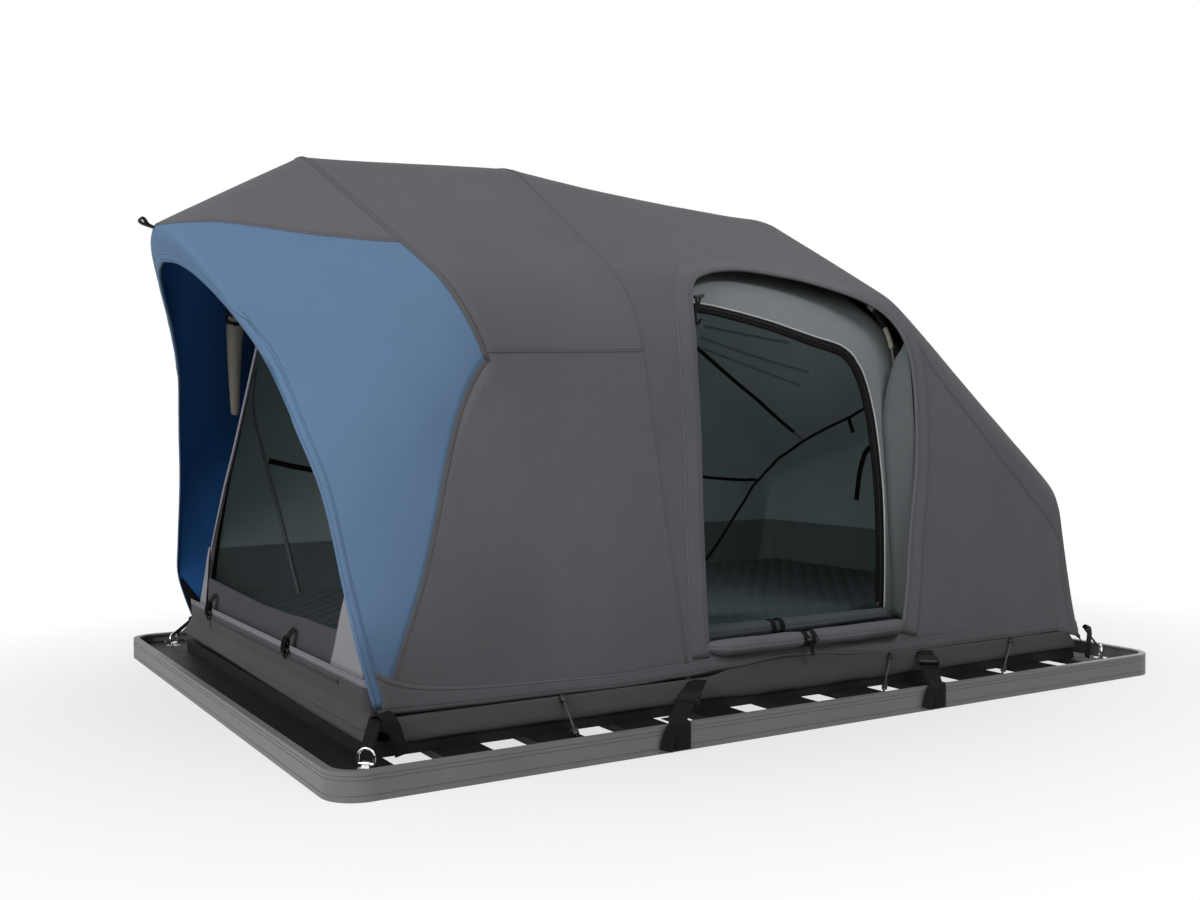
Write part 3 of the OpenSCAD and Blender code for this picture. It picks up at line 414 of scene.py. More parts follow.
# the cloth turns over each hoop on a short curve
def turned(bay, u, t):
    i = round(u)
    back, ahead = tent["turnOver"].get(i, (0, 0))
    if bay is flyBay and i == 1:
        back = ahead = mix(0.25, back, ramp(0.2, 0.3, t))
    if i == 0:
        ahead *= ramp(0.45, 0.62, t)
    if bay is not flyBay and i == 0 or not -back < u - i < ahead:
        return bay(u, t)
    q = (u - i + back) / (back + ahead)
    return bay(i - back, t) * (1 - q) ** 2 + bay(i, t) * 2 * q * (1 - q) + bay(i + ahead, t) * q ** 2


def onSide(bay, u, s):
    p = turned(bay, u, 1 - abs(s)) / 1000
    if s < 0:
        p.y = -p.y
    return p


def roomArch(name, t):
    f = roomHoops[name]
    return archPoint(f, mix(0.3 * tent["roomUp"] / cos(f["lean"]) / f["height"], 1, t), -tent["roomIn"])


def roomRow(i, t):
    if i == 0:
        return runAt(tent["roomFront"], t)
    if i == 5:
        return Vector((tent["roomTailX"], roomArch("tail", t).y * tent["roomTailNarrow"], tent["roomTailZ"]))
    return roomArch(("front", "mid", "rear", "tail")[i - 1], t)


def roomBay(u, t):
    i = min(max(int(u), 0), 4)
    return roomRow(i, t) * (1 - (u - i)) + roomRow(i + 1, t) * (u - i)


# the hem lifts under the side door
def hemLift(x):
    for (ax, az), (bx, bz) in zip(tent["hemArch"], tent["hemArch"][1:]):
        if ax <= x * 1000 <= bx:
            return mix(az, bz, ramp(ax, bx, x * 1000)) / 1000
    return 0.0


def flyBase(u, s):
    p = onSide(flyBay, u, s)
    if -1.05 < s < -0.93:
        p.z += hemLift(p.x) * ramp(-0.93, -1.0, s)
    return p


def roomBase(u, s):
    return onSide(roomBay, u, s)


# how far the cloth stands off its drawn surface: slow billows, creases near the hem and along the hoops
flySlack = {"billow": 0.0026, "crease": 0.0014, "hoopRidge": 0.0014, "hemFold": 0.0046, "awningFold": 0.0046,
            "rearLift": 0.0032}
roomSlack = {"billow": 0.0042, "crease": 0.0016}


def flyLift(p, u, s):
    t = 1 - abs(s)
    side = 7.0 if s > 0 else 0.0
    slow = noise.noise(Vector((p.x * 3.3, p.z * 2.6 + side, p.y * 1.4)))
    fold = noise.noise(Vector((p.x * 15.0 + side, p.z * 3.2, p.y * 3.0)))
    lift = slow * flySlack["billow"] + fold * flySlack["crease"] * (0.45 + 0.8 * ramp(0.3, 0.0, t))
    drape = noise.noise(Vector((p.x * 5.5 + p.z * 3.5 + side, p.z * 2.0, 5.0)))
    lift += drape * flySlack["hemFold"] * ramp(0.42, 0.05, t) * ramp(0.9, 1.3, u)
    soft = noise.noise(Vector((p.x * 9.0 + p.z * 3.0 + side, p.z * 1.7, p.y * 2.0)))
    lift += soft * flySlack["awningFold"] * ramp(0.0, 0.2, u) * ramp(1.0, 0.8, u) * ramp(1.0, 0.7, t)
    for i in (1, 2, 3, 4):
        lift += flySlack["hoopRidge"] * max(0.0, 1 - abs(u - i) / 0.05) ** 2 * ramp(0.02, 0.2, t)
    return lift + flySlack["rearLift"] * max(0.0, 1 - abs(u - 3) / 0.15) ** 2 * ramp(0.5, 0.75, t)


def roomLift(p, s):
    side = 11.0 if s > 0 else 3.0
    slow = noise.noise(Vector((p.x * 3.8 + side, p.z * 2.9, p.y * 2.0)))
    fold = noise.noise(Vector((p.x * 13.0 + side, p.z * 4.0, p.y * 3.0)))
    return -abs(slow) * roomSlack["billow"] + fold * roomSlack["crease"]


def clothFrame(base, u, s):
    h = 0.002
    p = base(u, s)
    tu = (base(u + h, s) - base(u - h, s)) / (2 * h)
    ts = (base(u, s + h) - base(u, s - h)) / (2 * h)
    if ts.length < 1e-6:
        ts = Vector((0, 1, 0))
    return p, tu, ts, tu.cross(ts).normalized()


def flyFrame(u, s):
    p, tu, ts, n = clothFrame(flyBase, u, s)
    return p + n * flyLift(p, u, s), tu, ts, n


def roomFrame(u, s):
    p, tu, ts, n = clothFrame(roomBase, u, s)
    return p + n * roomLift(p, s), tu, ts, n


# a point lifted off a cloth along its normal
def liftedOn(frameAt, u, s, lift):
    p, tu, ts, n = frameAt(u, s)
    return p + n * lift


# distances along a line of points
def lengthsAlong(points):
    run = [0.0]
    for a, b in zip(points, points[1:]):
        run.append(run[-1] + (b - a).length)
    return run


# thickness of trims, straps, ties and panels
thickOf = {"trim": 0.0009, "strap": 0.001, "tie": 0.0014, "panel": 0.0012, "sleeve": 0.0007}


def gridMesh(cols, rows):
    bm = bmesh.new()
    bmesh.ops.create_grid(bm, x_segments=cols, y_segments=rows, size=0.5)
    spots = {v: (round((v.co.x + 0.5) * cols), round((v.co.y + 0.5) * rows)) for v in bm.verts}
    return bm, spots


# moves every grid point to place(i, j) and gives it its UV, both in metres
def layGrid(bm, spots, place, uvAt):
    flat = {}
    for v, (i, j) in spots.items():
        v.co = place(i, j)
        flat[v] = uvAt(i, j)
    layer = bm.loops.layers.uv.verify()
    for face in bm.faces:
        for loop in face.loops:
            loop[layer].uv = flat[loop.vert]


def keepPiece(name, bm, finishes, slot, body="tray", stands=(), thick=0.0, inner=0, fold=None):
    for face in bm.faces:
        face.smooth = True
    area = sum(face.calc_area() for face in bm.faces)
    mesh = bpy.data.meshes.new(name)
    bm.to_mesh(mesh)
    bm.free()
    for finish in finishes:
        mesh.materials.append(finish)
    piece = bpy.data.objects.new(name, mesh)
    scene.collection.objects.link(piece)
    if thick:
        wall = piece.modifiers.new("clothThickness", "SOLIDIFY")
        wall.thickness = thick
        wall.offset = -1
        wall.material_offset = inner
    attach(piece, body)
    if stands:
        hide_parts(*stands)
    if fold:
        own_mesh(piece)
    piece["flatArea"] = area
    return piece


# UVs of a flat grid of the given size
def flatUv(cols, rows, flat):
    return lambda i, j: (i / cols * flat[0], j / rows * flat[1])


# a piece made of one grid
def gridPiece(name, cols, rows, place, uvAt, finishes, slot, **kept):
    bm, spots = gridMesh(cols, rows)
    layGrid(bm, spots, place, uvAt)
    return keepPiece(name, bm, finishes, slot, **kept)


# steps between several stops, with a number of steps for each stretch
def stops(marks, counts):
    values = []
    for a, b, n in zip(marks, marks[1:], counts):
        values += [mix(a, b, k / n) for k in range(n)]
    return values + [marks[-1]]


def smoothLine(points, step):
    dense = [runAt([(x, z, 0) for x, z in points], k / 600) / 1000 for k in range(601)]
    line, left = [dense[0]], step
    for a, b in zip(dense, dense[1:]):
        left -= (b - a).length
        if left <= 0:
            line.append(b.copy())
            left = step
    if (line[-1] - dense[-1]).length > step * 0.4:
        line.append(dense[-1])
    return [(p.x, p.y) for p in line]


def insideLine(line, x, z):
    inside = False
    for (ax, az), (bx, bz) in zip(line, line[1:] + line[:1]):
        if (az > z) != (bz > z) and x < (bx - ax) * (z - az) / (bz - az) + ax:
            inside = not inside
    return inside


def nearestOn(line, x, z):
    best = (1e9, 0, 0)
    for (ax, az), (bx, bz) in zip(line, line[1:] + line[:1]):
        dx, dz = bx - ax, bz - az
        q = min(max(((x - ax) * dx + (z - az) * dz) / max(dx * dx + dz * dz, 1e-12), 0), 1)
        px, pz = ax + dx * q, az + dz * q
        best = min(best, (hypot(x - px, z - pz), px, pz))
    return best


# (u, s) on a cloth where it shows at x and z
def findOn(base, x, z, u, s):
    for k in range(12):
        p, h = base(u, s), 0.002
        ux, us = (base(u + h, s) - p) / h, (base(u, s + h) - p) / h
        det = ux.x * us.z - us.x * ux.z
        dx, dz = x - p.x, z - p.z
        if abs(det) < 1e-9:
            break
        u += min(max((dx * us.z - us.x * dz) / det, -0.1), 0.1)
        s += min(max((ux.x * dz - dx * ux.z) / det, -0.1), 0.1)
        s = min(max(s, -1.02), -0.02) if s < 0 else min(max(s, 0.02), 1.02)
        if abs(dx) + abs(dz) < 1e-5:
            break
    return u, s


def pathOn(base, line, u, s):
    path = []
    for x, z in line:
        u, s = findOn(base, x, z, u, s)
        path.append((u, s))
    return path


def clothGrid(frameAt, us, ss, sAt):
    bm, spots = gridMesh(len(us) - 1, len(ss) - 1)
    where = sAt or (lambda u, s: s)
    points = [[frameAt(u, where(u, s))[0] for s in ss] for u in us]
    widest = max(points, key=lambda row: (row[0] - row[-1]).length)
    lengthU, lengthS = lengthsAlong([row[len(ss) // 4] for row in points]), lengthsAlong(widest)
    layGrid(bm, spots, lambda i, j: points[i][j], lambda i, j: (lengthU[i], lengthS[j]))
    return bm, spots


# a cloth between two rows of stops, with a doorway cut out where it is given and more panels joined on
def layCloth(name, frameAt, us, ss, finishes, slot, sAt=None, door=None, more=(), **kept):
    bm, spots = clothGrid(frameAt, us, ss, sAt)
    if door:
        line, base = door
        out = [f for f in bm.faces if f.calc_center_median().y < 0
               and insideLine(line, f.calc_center_median().x, f.calc_center_median().z)]
        rim = {v for f in out for v in f.verts}
        bmesh.ops.delete(bm, geom=out, context="FACES")
        for v in rim:
            if v.is_valid and any(len(e.link_faces) == 1 for e in v.link_edges):
                i, j = spots[v]
                far, x, z = nearestOn(line, v.co.x, v.co.z)
                if far < 0.04 and 0 < i < len(us) - 1 and 0 < j < len(ss) - 1:
                    v.co = frameAt(*findOn(base, x, z, us[i], ss[j]))[0]
    for panel in more:
        addTo(bm, clothGrid(frameAt, *panel)[0])
    if more:
        bmesh.ops.remove_doubles(bm, verts=bm.verts, dist=0.0003)
    return keepPiece(name, bm, finishes, slot, **kept)


# a band sewn on a cloth along a path of (u, s); profile is (distance to the left, height) in metres
def sewBand(name, frameAt, path, profile, finishes, slot, **kept):
    at = [frameAt(u, s) for u, s in path]
    line = [p for p, tu, ts, n in at]
    run, side = lengthsAlong(line), []
    for k, (p, tu, ts, n) in enumerate(at):
        a, b = line[max(k - 1, 0)], line[min(k + 1, len(at) - 1)]
        side.append(n.cross((b - a).normalized()).normalized())

    def place(i, j):
        (p, tu, ts, n), (u, s) = at[i], path[i]
        w, lift = profile[j]
        uu, st, tt = tu.dot(tu), tu.dot(ts), ts.dot(ts)
        det = uu * tt - st * st
        su, sv = side[i].dot(tu), side[i].dot(ts)
        if w <= 0 or abs(det) < 1e-9:
            return p + side[i] * w + n * lift
        return liftedOn(frameAt, u + (su * tt - sv * st) / det * w, s + (sv * uu - su * st) / det * w, lift)

    return gridPiece(name, len(path) - 1, len(profile) - 1, place, lambda i, j: (run[i], profile[j][0]),
                     finishes, slot, thick=thickOf["trim"], **kept)


def seamOf(half, rise):
    return [(-half, 0.0002), (-half * 0.86, rise * 0.8), (-half * 0.3, rise), (half * 0.3, rise),
            (half * 0.86, rise * 0.8), (half, 0.0002)]


# a flat strap through a list of points, with the direction across it
def layStrap(bm, points, across, width, cols=4):
    base, spots = gridMesh(len(points) - 1, cols)
    run, across = lengthsAlong(points), across.normalized()
    layGrid(base, spots, lambda i, j: points[i] + across * (j / cols - 0.5) * width,
            lambda i, j: (run[i], j / cols * width))
    addTo(bm, base)


def addTo(bm, extra):
    mesh = bpy.data.meshes.new("joined")
    extra.to_mesh(mesh)
    extra.free()
    bm.from_mesh(mesh)
    bpy.data.meshes.remove(mesh)


# points along a smooth line through the given ones
def curveThrough(points, count):
    return [runAt(points, k / (count - 1)) for k in range(count)]


# a round cord or tube along points
def layTube(bm, points, radius, sides=10, closedEnds=True, swell=None):
    base, spots = gridMesh(len(points) - 1, sides)
    up = Vector((0, 0, 1))
    first = (points[1] - points[0]).normalized()
    if abs(first.dot(up)) > 0.9:
        up = Vector((0, 1, 0))
    frames, run = [], lengthsAlong(points)
    side = first.cross(up).normalized()
    for k in range(len(points)):
        a, b = points[max(k - 1, 0)], points[min(k + 1, len(points) - 1)]
        way = (b - a).normalized()
        side = (side - way * side.dot(way)).normalized()
        frames.append((side.copy(), way.cross(side)))

    def place(i, j):
        a = 2 * pi * j / sides
        r = radius * (swell(i, a) if swell else 1.0)
        return points[i] + (frames[i][0] * cos(a) + frames[i][1] * sin(a)) * r

    layGrid(base, spots, place, lambda i, j: (run[i], 2 * pi * radius * j / sides))
    bmesh.ops.remove_doubles(base, verts=base.verts, dist=radius * 0.01)
    if closedEnds:
        bmesh.ops.holes_fill(base, edges=rimOf(base), sides=0)
    bmesh.ops.recalc_face_normals(base, faces=base.faces)
    addTo(bm, base)


# a row of zip teeth
def layTeeth(bm, points, radius):
    layTube(bm, points, radius, 6, swell=lambda i, a: 1.15 if i % 2 else 0.8)


def rimOf(bm):
    return [e for e in bm.edges if len(e.link_faces) == 1]


# a moulded block with rounded edges
def layBlock(bm, size, place, edge=0.001):
    block = bmesh.new()
    bmesh.ops.create_cube(block, size=1.0)
    bmesh.ops.scale(block, vec=size, verts=block.verts)
    bmesh.ops.bevel(block, geom=block.edges, offset=edge, affect="EDGES", segments=2, profile=0.5, material=-1)
    bmesh.ops.transform(block, matrix=place, verts=block.verts)
    addTo(bm, block)


# a turned pin with domed ends, along an axis
def layPin(bm, a, b, radius):
    pin = bmesh.new()
    length = (b - a).length
    bmesh.ops.create_cone(pin, cap_ends=True, segments=16, radius1=radius, radius2=radius, depth=length)
    rims = [e for e in pin.edges if abs(e.verts[0].co.z - e.verts[1].co.z) < 1e-6]
    bmesh.ops.bevel(pin, geom=rims, offset=radius * 0.45, affect="EDGES", segments=3, profile=0.5, material=-1)
    turn = (b - a).normalized().to_track_quat("Z", "Y").to_matrix().to_4x4()
    bmesh.ops.transform(pin, matrix=Matrix.Translation((a + b) / 2) @ turn, verts=pin.verts)
    addTo(bm, pin)


def webPiece(name, bm, thick, **kept):
    return keepPiece(name, bm, [webbing], "webbing", thick=thick, **kept)


# the grey main cloth with its doorway
flyMainCut = {"bays": (14, 58, 40, 26), "aroundSide": 66, "end": 4.985, "thick": 0.0012}


def lowT(u):
    return 19 / 66 * (1 - (1 - u) ** 2)


def highT(u):
    return 1 - 0.385 * u ** 0.6


def aroundStops(half):
    return [-1 + k / half for k in range(half)] + [k / half for k in range(half + 1)]


# grey and blue panels ahead of the front hoop
frontPanels = {"along": 44, "tip": 0.003, "thick": 0.0012, "rows": {"top": 40, "low": 19, "blue": 40}}
frontUs = between(frontPanels["tip"], 1, frontPanels["along"])
panelRows = {key: between(0, 1, n) for key, n in frontPanels["rows"].items()}
kept = {"thick": frontPanels["thick"], "inner": 1, "fold": "fly"}
flyTop = layCloth("flyTopPanel", flyFrame, frontUs, panelRows["top"], [flyCloth, awningInsidePaintedLight], "fly",
                  sAt=lambda u, q: (2 * q - 1) * (1 - highT(u)), stands=("fly_front",), **kept)
awningUs = [0.0, 0.008, 0.016, 0.026, 0.036] + [u for u in frontUs if u > 0.045]
faceUs = [k / 12 - 1 for k in range(13)]
faceSs = [k / 40 for k in range(-21, 22)]
bluePanels = [(faceUs, faceSs, None),
              (awningUs, panelRows["blue"], lambda u, q: 1 - mix(highT(u), lowT(u), q))]
awning = layCloth("awning", flyFrame, awningUs, panelRows["blue"], [awningBlue, awningInsidePaintedLight], "awning",
                  sAt=lambda u, q: -(1 - mix(lowT(u), highT(u), q)), more=bluePanels,
                  stands=("fly_awning",), **kept)
print("front panels laid")

lowPanels = [(frontUs, panelRows["low"], lambda u, q: -(1 - lowT(u) * q)),
             (frontUs, panelRows["low"], lambda u, q: 1 - lowT(u) * (1 - q))]
flyDoorLine = smoothLine(tent["flyDoor"], 0.012)
flyMain = layCloth("flyMain", flyFrame, stops((1, 2, 3, 4, flyMainCut["end"]), flyMainCut["bays"]),
                   aroundStops(flyMainCut["aroundSide"]), [flyCloth, flyInside], "fly",
                   door=(flyDoorLine, flyBase), more=lowPanels, stands=("fly_main",),
                   thick=flyMainCut["thick"], inner=1, fold="fly")
print("main cloth laid")


sides = (("Near", -1), ("Far", 1))

# seams, door facing, awning edge and hem
flyTrim = {"seamHalf": 0.0046, "seamRise": 0.0013, "panelSeamHalf": 0.0042, "steps": 70}
edgeFold = [(-0.0012, -0.0045), (-0.0022, -0.0005), (0.0, 0.0019), (0.006, 0.0024), (0.012, 0.0020)]
facing = edgeFold + [(0.030, 0.0019), (0.041, 0.0022), (0.0455, 0.0016), (0.0465, 0.0002)]
awningHem = edgeFold[:4] + [(0.012, 0.0019), (0.0175, 0.0021), (0.0195, 0.0016), (0.0205, 0.0002)]
hemFold = [(-0.0035, -0.0035), (-0.0045, -0.0006), (0.0, 0.0018), (0.004, 0.0022), (0.012, 0.0017),
           (0.021, 0.0020), (0.0235, 0.0014), (0.0245, 0.0002)]


def flySew(name, path, profile, finish):
    return sewBand(name, flyFrame, path, profile, [finish], "fly", fold="fly")


n = flyTrim["steps"]
wide, slim = seamOf(flyTrim["seamHalf"], flyTrim["seamRise"]), seamOf(flyTrim["panelSeamHalf"], 0.0012)
hipLine = [(3.07, 0.357), (3.135, 0.32), (3.31, 0.30), (3.525, 0.284), (3.695, 0.275), (3.925, 0.256),
           (4.02, 0.232), (4.25, 0.17), (4.55, 0.09), (4.8, 0.03), (4.96, 0.0)]
hipPath = pathThrough(hipLine, n)
flyTrims = [
    flySew("frontHoopSeam", [(1.0, s) for s in between(-0.712, 0.712, 2 * n)], wide, flySeam),
    flySew("midHoopSeam", [(1.98, s) for s in between(-0.995, 0.995, 2 * n)], wide, flySeam),
    flySew("roofSeamNear", [(u, -0.702) for u in between(1.0, 1.98, 30)], wide, flySeam),
    flySew("roofSeamFar", [(u, 0.702) for u in between(1.0, 1.98, 30)], wide, flySeam),
    flySew("hipSeamNear", [(u, t - 1) for u, t in hipPath], wide, flySeam),
    flySew("hipSeamFar", [(u, 1 - t) for u, t in hipPath], wide, flySeam),
    flySew("doorFacing", pathOn(flyBase, flyDoorLine, 2.05, -0.97), facing, flyFacing),
    flySew("flyHem", [(u, -1.0) for u in between(0.02, 4.97, 150)]
           + [(4.985, s) for s in between(-0.99, 0.99, 80)]
           + [(u, 1.0) for u in between(4.97, 0.02, 150)], hemFold, flyHem),
]
awningTrims = []
for label, sign in sides:
    awningTrims += [
        flySew("lowSeam" + label, [(u, sign * (1 - lowT(u))) for u in frontUs if u > 0.05], slim, flySeam),
        flySew("highSeam" + label, [(u, sign * (1 - highT(u))) for u in frontUs], slim, flySeam),
    ]


# turned edge of the awning: it follows the opening and narrows with the blue panel at the foot
def addAwningEdge():
    across = between(0.985, -0.985, 2 * n)

    def stand(w, s):
        t = 1 - abs(s)
        face = (flyRow(0, t) - runAt(tent["brow"], t)).length / 1000
        perU = (flyBase(0.06, s) - flyBase(0.0, s)).length / 0.06
        room = perU * (1 - max(1 - t / 0.287, 0.0) ** 0.5) * 0.92 + face
        d = max(w, 0.0) * min(1.0, room / awningHem[-1][0])
        if t < 0.46 or face < 0.0005:
            return flyFrame(d / perU, s)
        return flyFrame(d / face - 1 if d < face else (d - face) / perU, s)

    def place(i, j):
        w, lift = awningHem[j]
        point, tu, ts, normal = stand(w, across[i])
        return point + tu.normalized() * min(w, 0.0) + normal * lift

    run = lengthsAlong([stand(0.0, s)[0] for s in across])
    return gridPiece("awningEdge", len(across) - 1, len(awningHem) - 1, place,
                     lambda i, j: (run[i], awningHem[j][0]), [awningEdge], "awning", thick=thickOf["trim"],
                     fold="fly")


awningTrims.append(addAwningEdge())


# dark patch sewn inside the awning's far foot
footPatch = {"from": 0.004, "wide": 0.10, "least": 0.012, "foot": 0.998, "high": 0.105, "below": 0.0032,
             "cols": 6, "rows": 14, "flat": (0.05, 0.11)}


def addFootPatch():
    cols, rows, flat = footPatch["cols"], footPatch["rows"], footPatch["flat"]

    def place(i, j):
        wide = footPatch["wide"] * (1 - j / rows) + footPatch["least"]
        return liftedOn(flyFrame, footPatch["from"] + wide * i / cols,
                        footPatch["foot"] - mix(0.0, footPatch["high"], j / rows), -footPatch["below"])

    piece = gridPiece("footPatchFar", cols, rows, place, flatUv(cols, rows, flat), [darkStripAndPaintedShadow], "webbing",
                      thick=thickOf["trim"], fold="fly")


addFootPatch()
print("fly seams sewn")

# webbing loop at the awning's peak
peakTab = {"at": (-1.1895, 0.0, 1.0472), "wide": 0.026, "tilt": 15,
           "loop": ((0.008, 0.0), (-0.008, 0.0002), (-0.019, 0.0012), (-0.0255, 0.0060), (-0.0235, 0.0130),
                    (-0.0150, 0.0115), (-0.006, 0.0042), (0.008, 0.0016))}


def addPeakTab():
    bm = bmesh.new()
    a, tilt = Vector(peakTab["at"]), radians(peakTab["tilt"])
    back, up = Vector((cos(tilt), 0, -sin(tilt))), Vector((sin(tilt), 0, cos(tilt)))
    loop = [a + back * x + up * z for x, z in peakTab["loop"]]
    layStrap(bm, curveThrough(loop, 40), Vector((0, 1, 0)), peakTab["wide"])
    return webPiece("peakLoop", bm, thickOf["tie"], stands=("peak_tab",), fold="fly")


addPeakTab()

# inner room with its own doorway, zips and seams
roomCut = {"bays": (26, 12, 40, 26, 18), "aroundSide": 48, "thick": 0.0011, "under": 0.0012,
           "zipHalf": 0.0125}
roomDoorLine = smoothLine(tent["roomDoor"], 0.012)
roomCanopy = layCloth("innerRoom", roomFrame, stops((0, 1, 2, 3, 4, 5), roomCut["bays"]),
                      aroundStops(roomCut["aroundSide"]), [roomCloth, roomInsidePaintedLightAndShade], "room",
                      door=(roomDoorLine, roomBase), stands=("inner_canopy",), thick=roomCut["thick"],
                      inner=1, fold="room")


def roomSew(name, path, profile, finish, slot="room", **more):
    return sewBand(name, roomFrame, path, profile, [finish], slot, fold="room", **more)


# a profile on the cloth's other face
def flipped(profile):
    return [(w, -lift - roomCut["under"]) for w, lift in profile]


edgeInside = [(-0.0015, -0.0010), (0.0, 0.0016), (0.008, 0.0020), (0.0105, 0.0004)]
zipInside = [(0.0110, 0.0002), (0.0125, 0.0018), (0.0185, 0.0018), (0.0200, 0.0002)]
piping = [(0.0126, 0.0004), (0.0132, 0.0024), (0.0148, 0.0030), (0.0164, 0.0024), (0.0171, 0.0004)]
zipPath = pathOn(roomBase, roomDoorLine, 2.05, -0.93)
farZipPath = pathOn(roomBase, roomDoorLine, 2.05, 0.93)
tapeShape = seamOf(roomCut["zipHalf"], 0.0016)
frontPath = [(0.0, s) for s in between(0.99, -0.99, 2 * n)]
roomTrims = [
    roomSew("doorZipTape", zipPath, tapeShape, zipTape, "zip", stands=("door_zip",)),
    roomSew("doorZipTapeInside", zipPath, flipped(tapeShape), zipTape, "zip"),
    roomSew("farDoorZipTape", farZipPath, tapeShape, zipTape, "zip"),
    roomSew("farDoorZipInside", farZipPath, flipped(seamOf(0.006, 0.0012)), zipTape, "zip"),
    roomSew("roomFrontBinding", frontPath, awningHem, jambCloth),
    roomSew("roomFrontInside", frontPath, flipped(edgeInside), jambCloth),
    roomSew("roomFrontZip", frontPath, flipped(zipInside), zipTape, "zip"),
    roomSew("doorPiping", zipPath, piping, paleCord),
]


# strips and seams inside the far wall and roof, on lines of (u, s) from the photograph; the first strip and its
# end are a painted shadow of a pole on the far roof
roomStrips = {
    # painted shadow: a dark strip where a pole's shadow falls on the far roof, fading out at its end
    "poleShadowStrip": {"half": 0.0075, "rise": 0.0018, "cloth": darkStripAndPaintedShadow,
                  "line": ((3.10, 0.408), (3.202, 0.4016), (3.363, 0.390), (3.52, 0.376), (3.681, 0.363),
                           (3.80, 0.351))},
    "poleShadowStripEnd": {"half": 0.0055, "rise": 0.0012, "cloth": roomSeam,
                     "line": ((3.80, 0.351), (3.83, 0.349), (3.858, 0.346))},
    "tailArcSeam": {"half": 0.0038, "rise": 0.0018, "cloth": darkStripAndPaintedShadow,
                    "line": ((3.818, -0.0154), (3.845, 0.1414), (3.849, 0.2189), (3.854, 0.2826), (3.866, 0.35),
                             (3.891, 0.4219), (3.922, 0.5355), (3.9, 0.6757), (3.832, 0.7747), (3.762, 0.8357),
                             (3.691, 0.8886), (3.614, 0.9339), (3.524, 0.9713))},
    "wallLine": {"half": 0.0042, "rise": 0.0016, "cloth": darkStripAndPaintedShadow,
                 "line": ((3.439, 0.8066), (3.531, 0.7944), (3.623, 0.7795), (3.715, 0.7613), (3.806, 0.7367),
                          (3.89, 0.6895))},
    "roofPleat1": {"half": 0.0035, "rise": 0.0034, "cloth": roomSeam,
                   "line": ((3.139, 0.3423), (3.249, 0.2883), (3.35, 0.2332), (3.443, 0.1773))},
    "roofPleat2": {"half": 0.0035, "rise": 0.0034, "cloth": roomSeam,
                   "line": ((3.163, 0.3718), (3.283, 0.33), (3.394, 0.2851), (3.497, 0.2374),
                            (3.591, 0.187))},
    "roofPleat3": {"half": 0.0030, "rise": 0.0030, "cloth": roomSeam,
                   "line": ((3.192, 0.3952), (3.307, 0.3567), (3.417, 0.317), (3.521, 0.2763),
                            (3.618, 0.2347))},
    "frontLine": {"half": 0.0065, "rise": 0.0018, "cloth": darkStripAndPaintedShadow,
                  "line": ((0.489, 0.7712), (0.58, 0.7855), (0.674, 0.8001), (0.76, 0.811), (0.844, 0.8211))},
    "frontSeam": {"half": 0.0045, "rise": 0.0014, "cloth": roomSeam,
                  "line": ((0.18, 0.50), (0.257, 0.591), (0.40, 0.70), (0.446, 0.747), (0.491, 0.836),
                           (0.524, 0.931), (0.54, 0.985))},
    "tailHangStrap": {"half": 0.0075, "rise": 0.006, "cloth": webbing,
                      "line": ((3.988, 0.109), (4.029, 0.1828), (4.104, 0.201), (4.196, 0.2098),
                               (4.295, 0.2139), (4.389, 0.217))},
    "tailTab": {"half": 0.0045, "rise": 0.005, "cloth": webbing,
                "line": ((3.84, 0.178), (3.88, 0.188), (3.915, 0.197))},
}
for label, strip in roomStrips.items():
    shape = flipped(seamOf(strip["half"], strip["rise"]))
    roomTrims.append(roomSew(label, pathThrough(strip["line"], 48), shape, strip["cloth"]))
for i, u in enumerate((1.0, 2.0, 3.0)):
    roomTrims.append(roomSew("roomSeam%d" % (i + 1), [(u, s) for s in between(-0.98, 0.98, 2 * n)],
                             flipped(seamOf(0.008, 0.0012)), roomSeam))


def addDoorTeeth():
    bm = bmesh.new()
    line = [liftedOn(roomFrame, u, s, 0.0018) for u, s in zipPath]
    layTeeth(bm, curveThrough(line, len(line) * 8), 0.0026)
    return keepPiece("doorZipTeeth", bm, [zipTeeth], "zip", fold="room")


roomTrims.append(addDoorTeeth())


# strip of room cloth that joins the canopy to the fly beside the rear hoop; it wears the room cloth at half
# tone, a painted shade
hoopStrip = {"room": 2.95, "fly": 3.0, "inset": 0.006, "foot": 0.985, "head": 0.635, "narrow": 0.79,
             "cols": 4, "rows": 40, "flat": (0.06, 0.75)}


def addHoopStrips():
    cols, rows, flat = hoopStrip["cols"], hoopStrip["rows"], hoopStrip["flat"]
    for label, sign in sides:
        def place(i, j, sign=sign):
            t = sign * mix(hoopStrip["head"], hoopStrip["foot"], j / rows)
            a = liftedOn(roomFrame, hoopStrip["room"], t, 0.0012)
            b = liftedOn(flyFrame, hoopStrip["fly"], t, -hoopStrip["inset"])
            a = mix(b, a, 0.04 + 0.96 * ramp(hoopStrip["head"], hoopStrip["narrow"], abs(t)))
            return mix(a, b, i / cols)

        piece = gridPiece("hoopStrip" + label, cols, rows, place, flatUv(cols, rows, flat),
                          [roomClothPaintedShade, roomClothPaintedShade], "room", thick=thickOf["trim"], fold="room")


addHoopStrips()


# zip pull at the foot of the side door and the tie at its head
doorPulls = {"pull": (0.3525, 0.196), "tie": (-0.141, 0.872)}


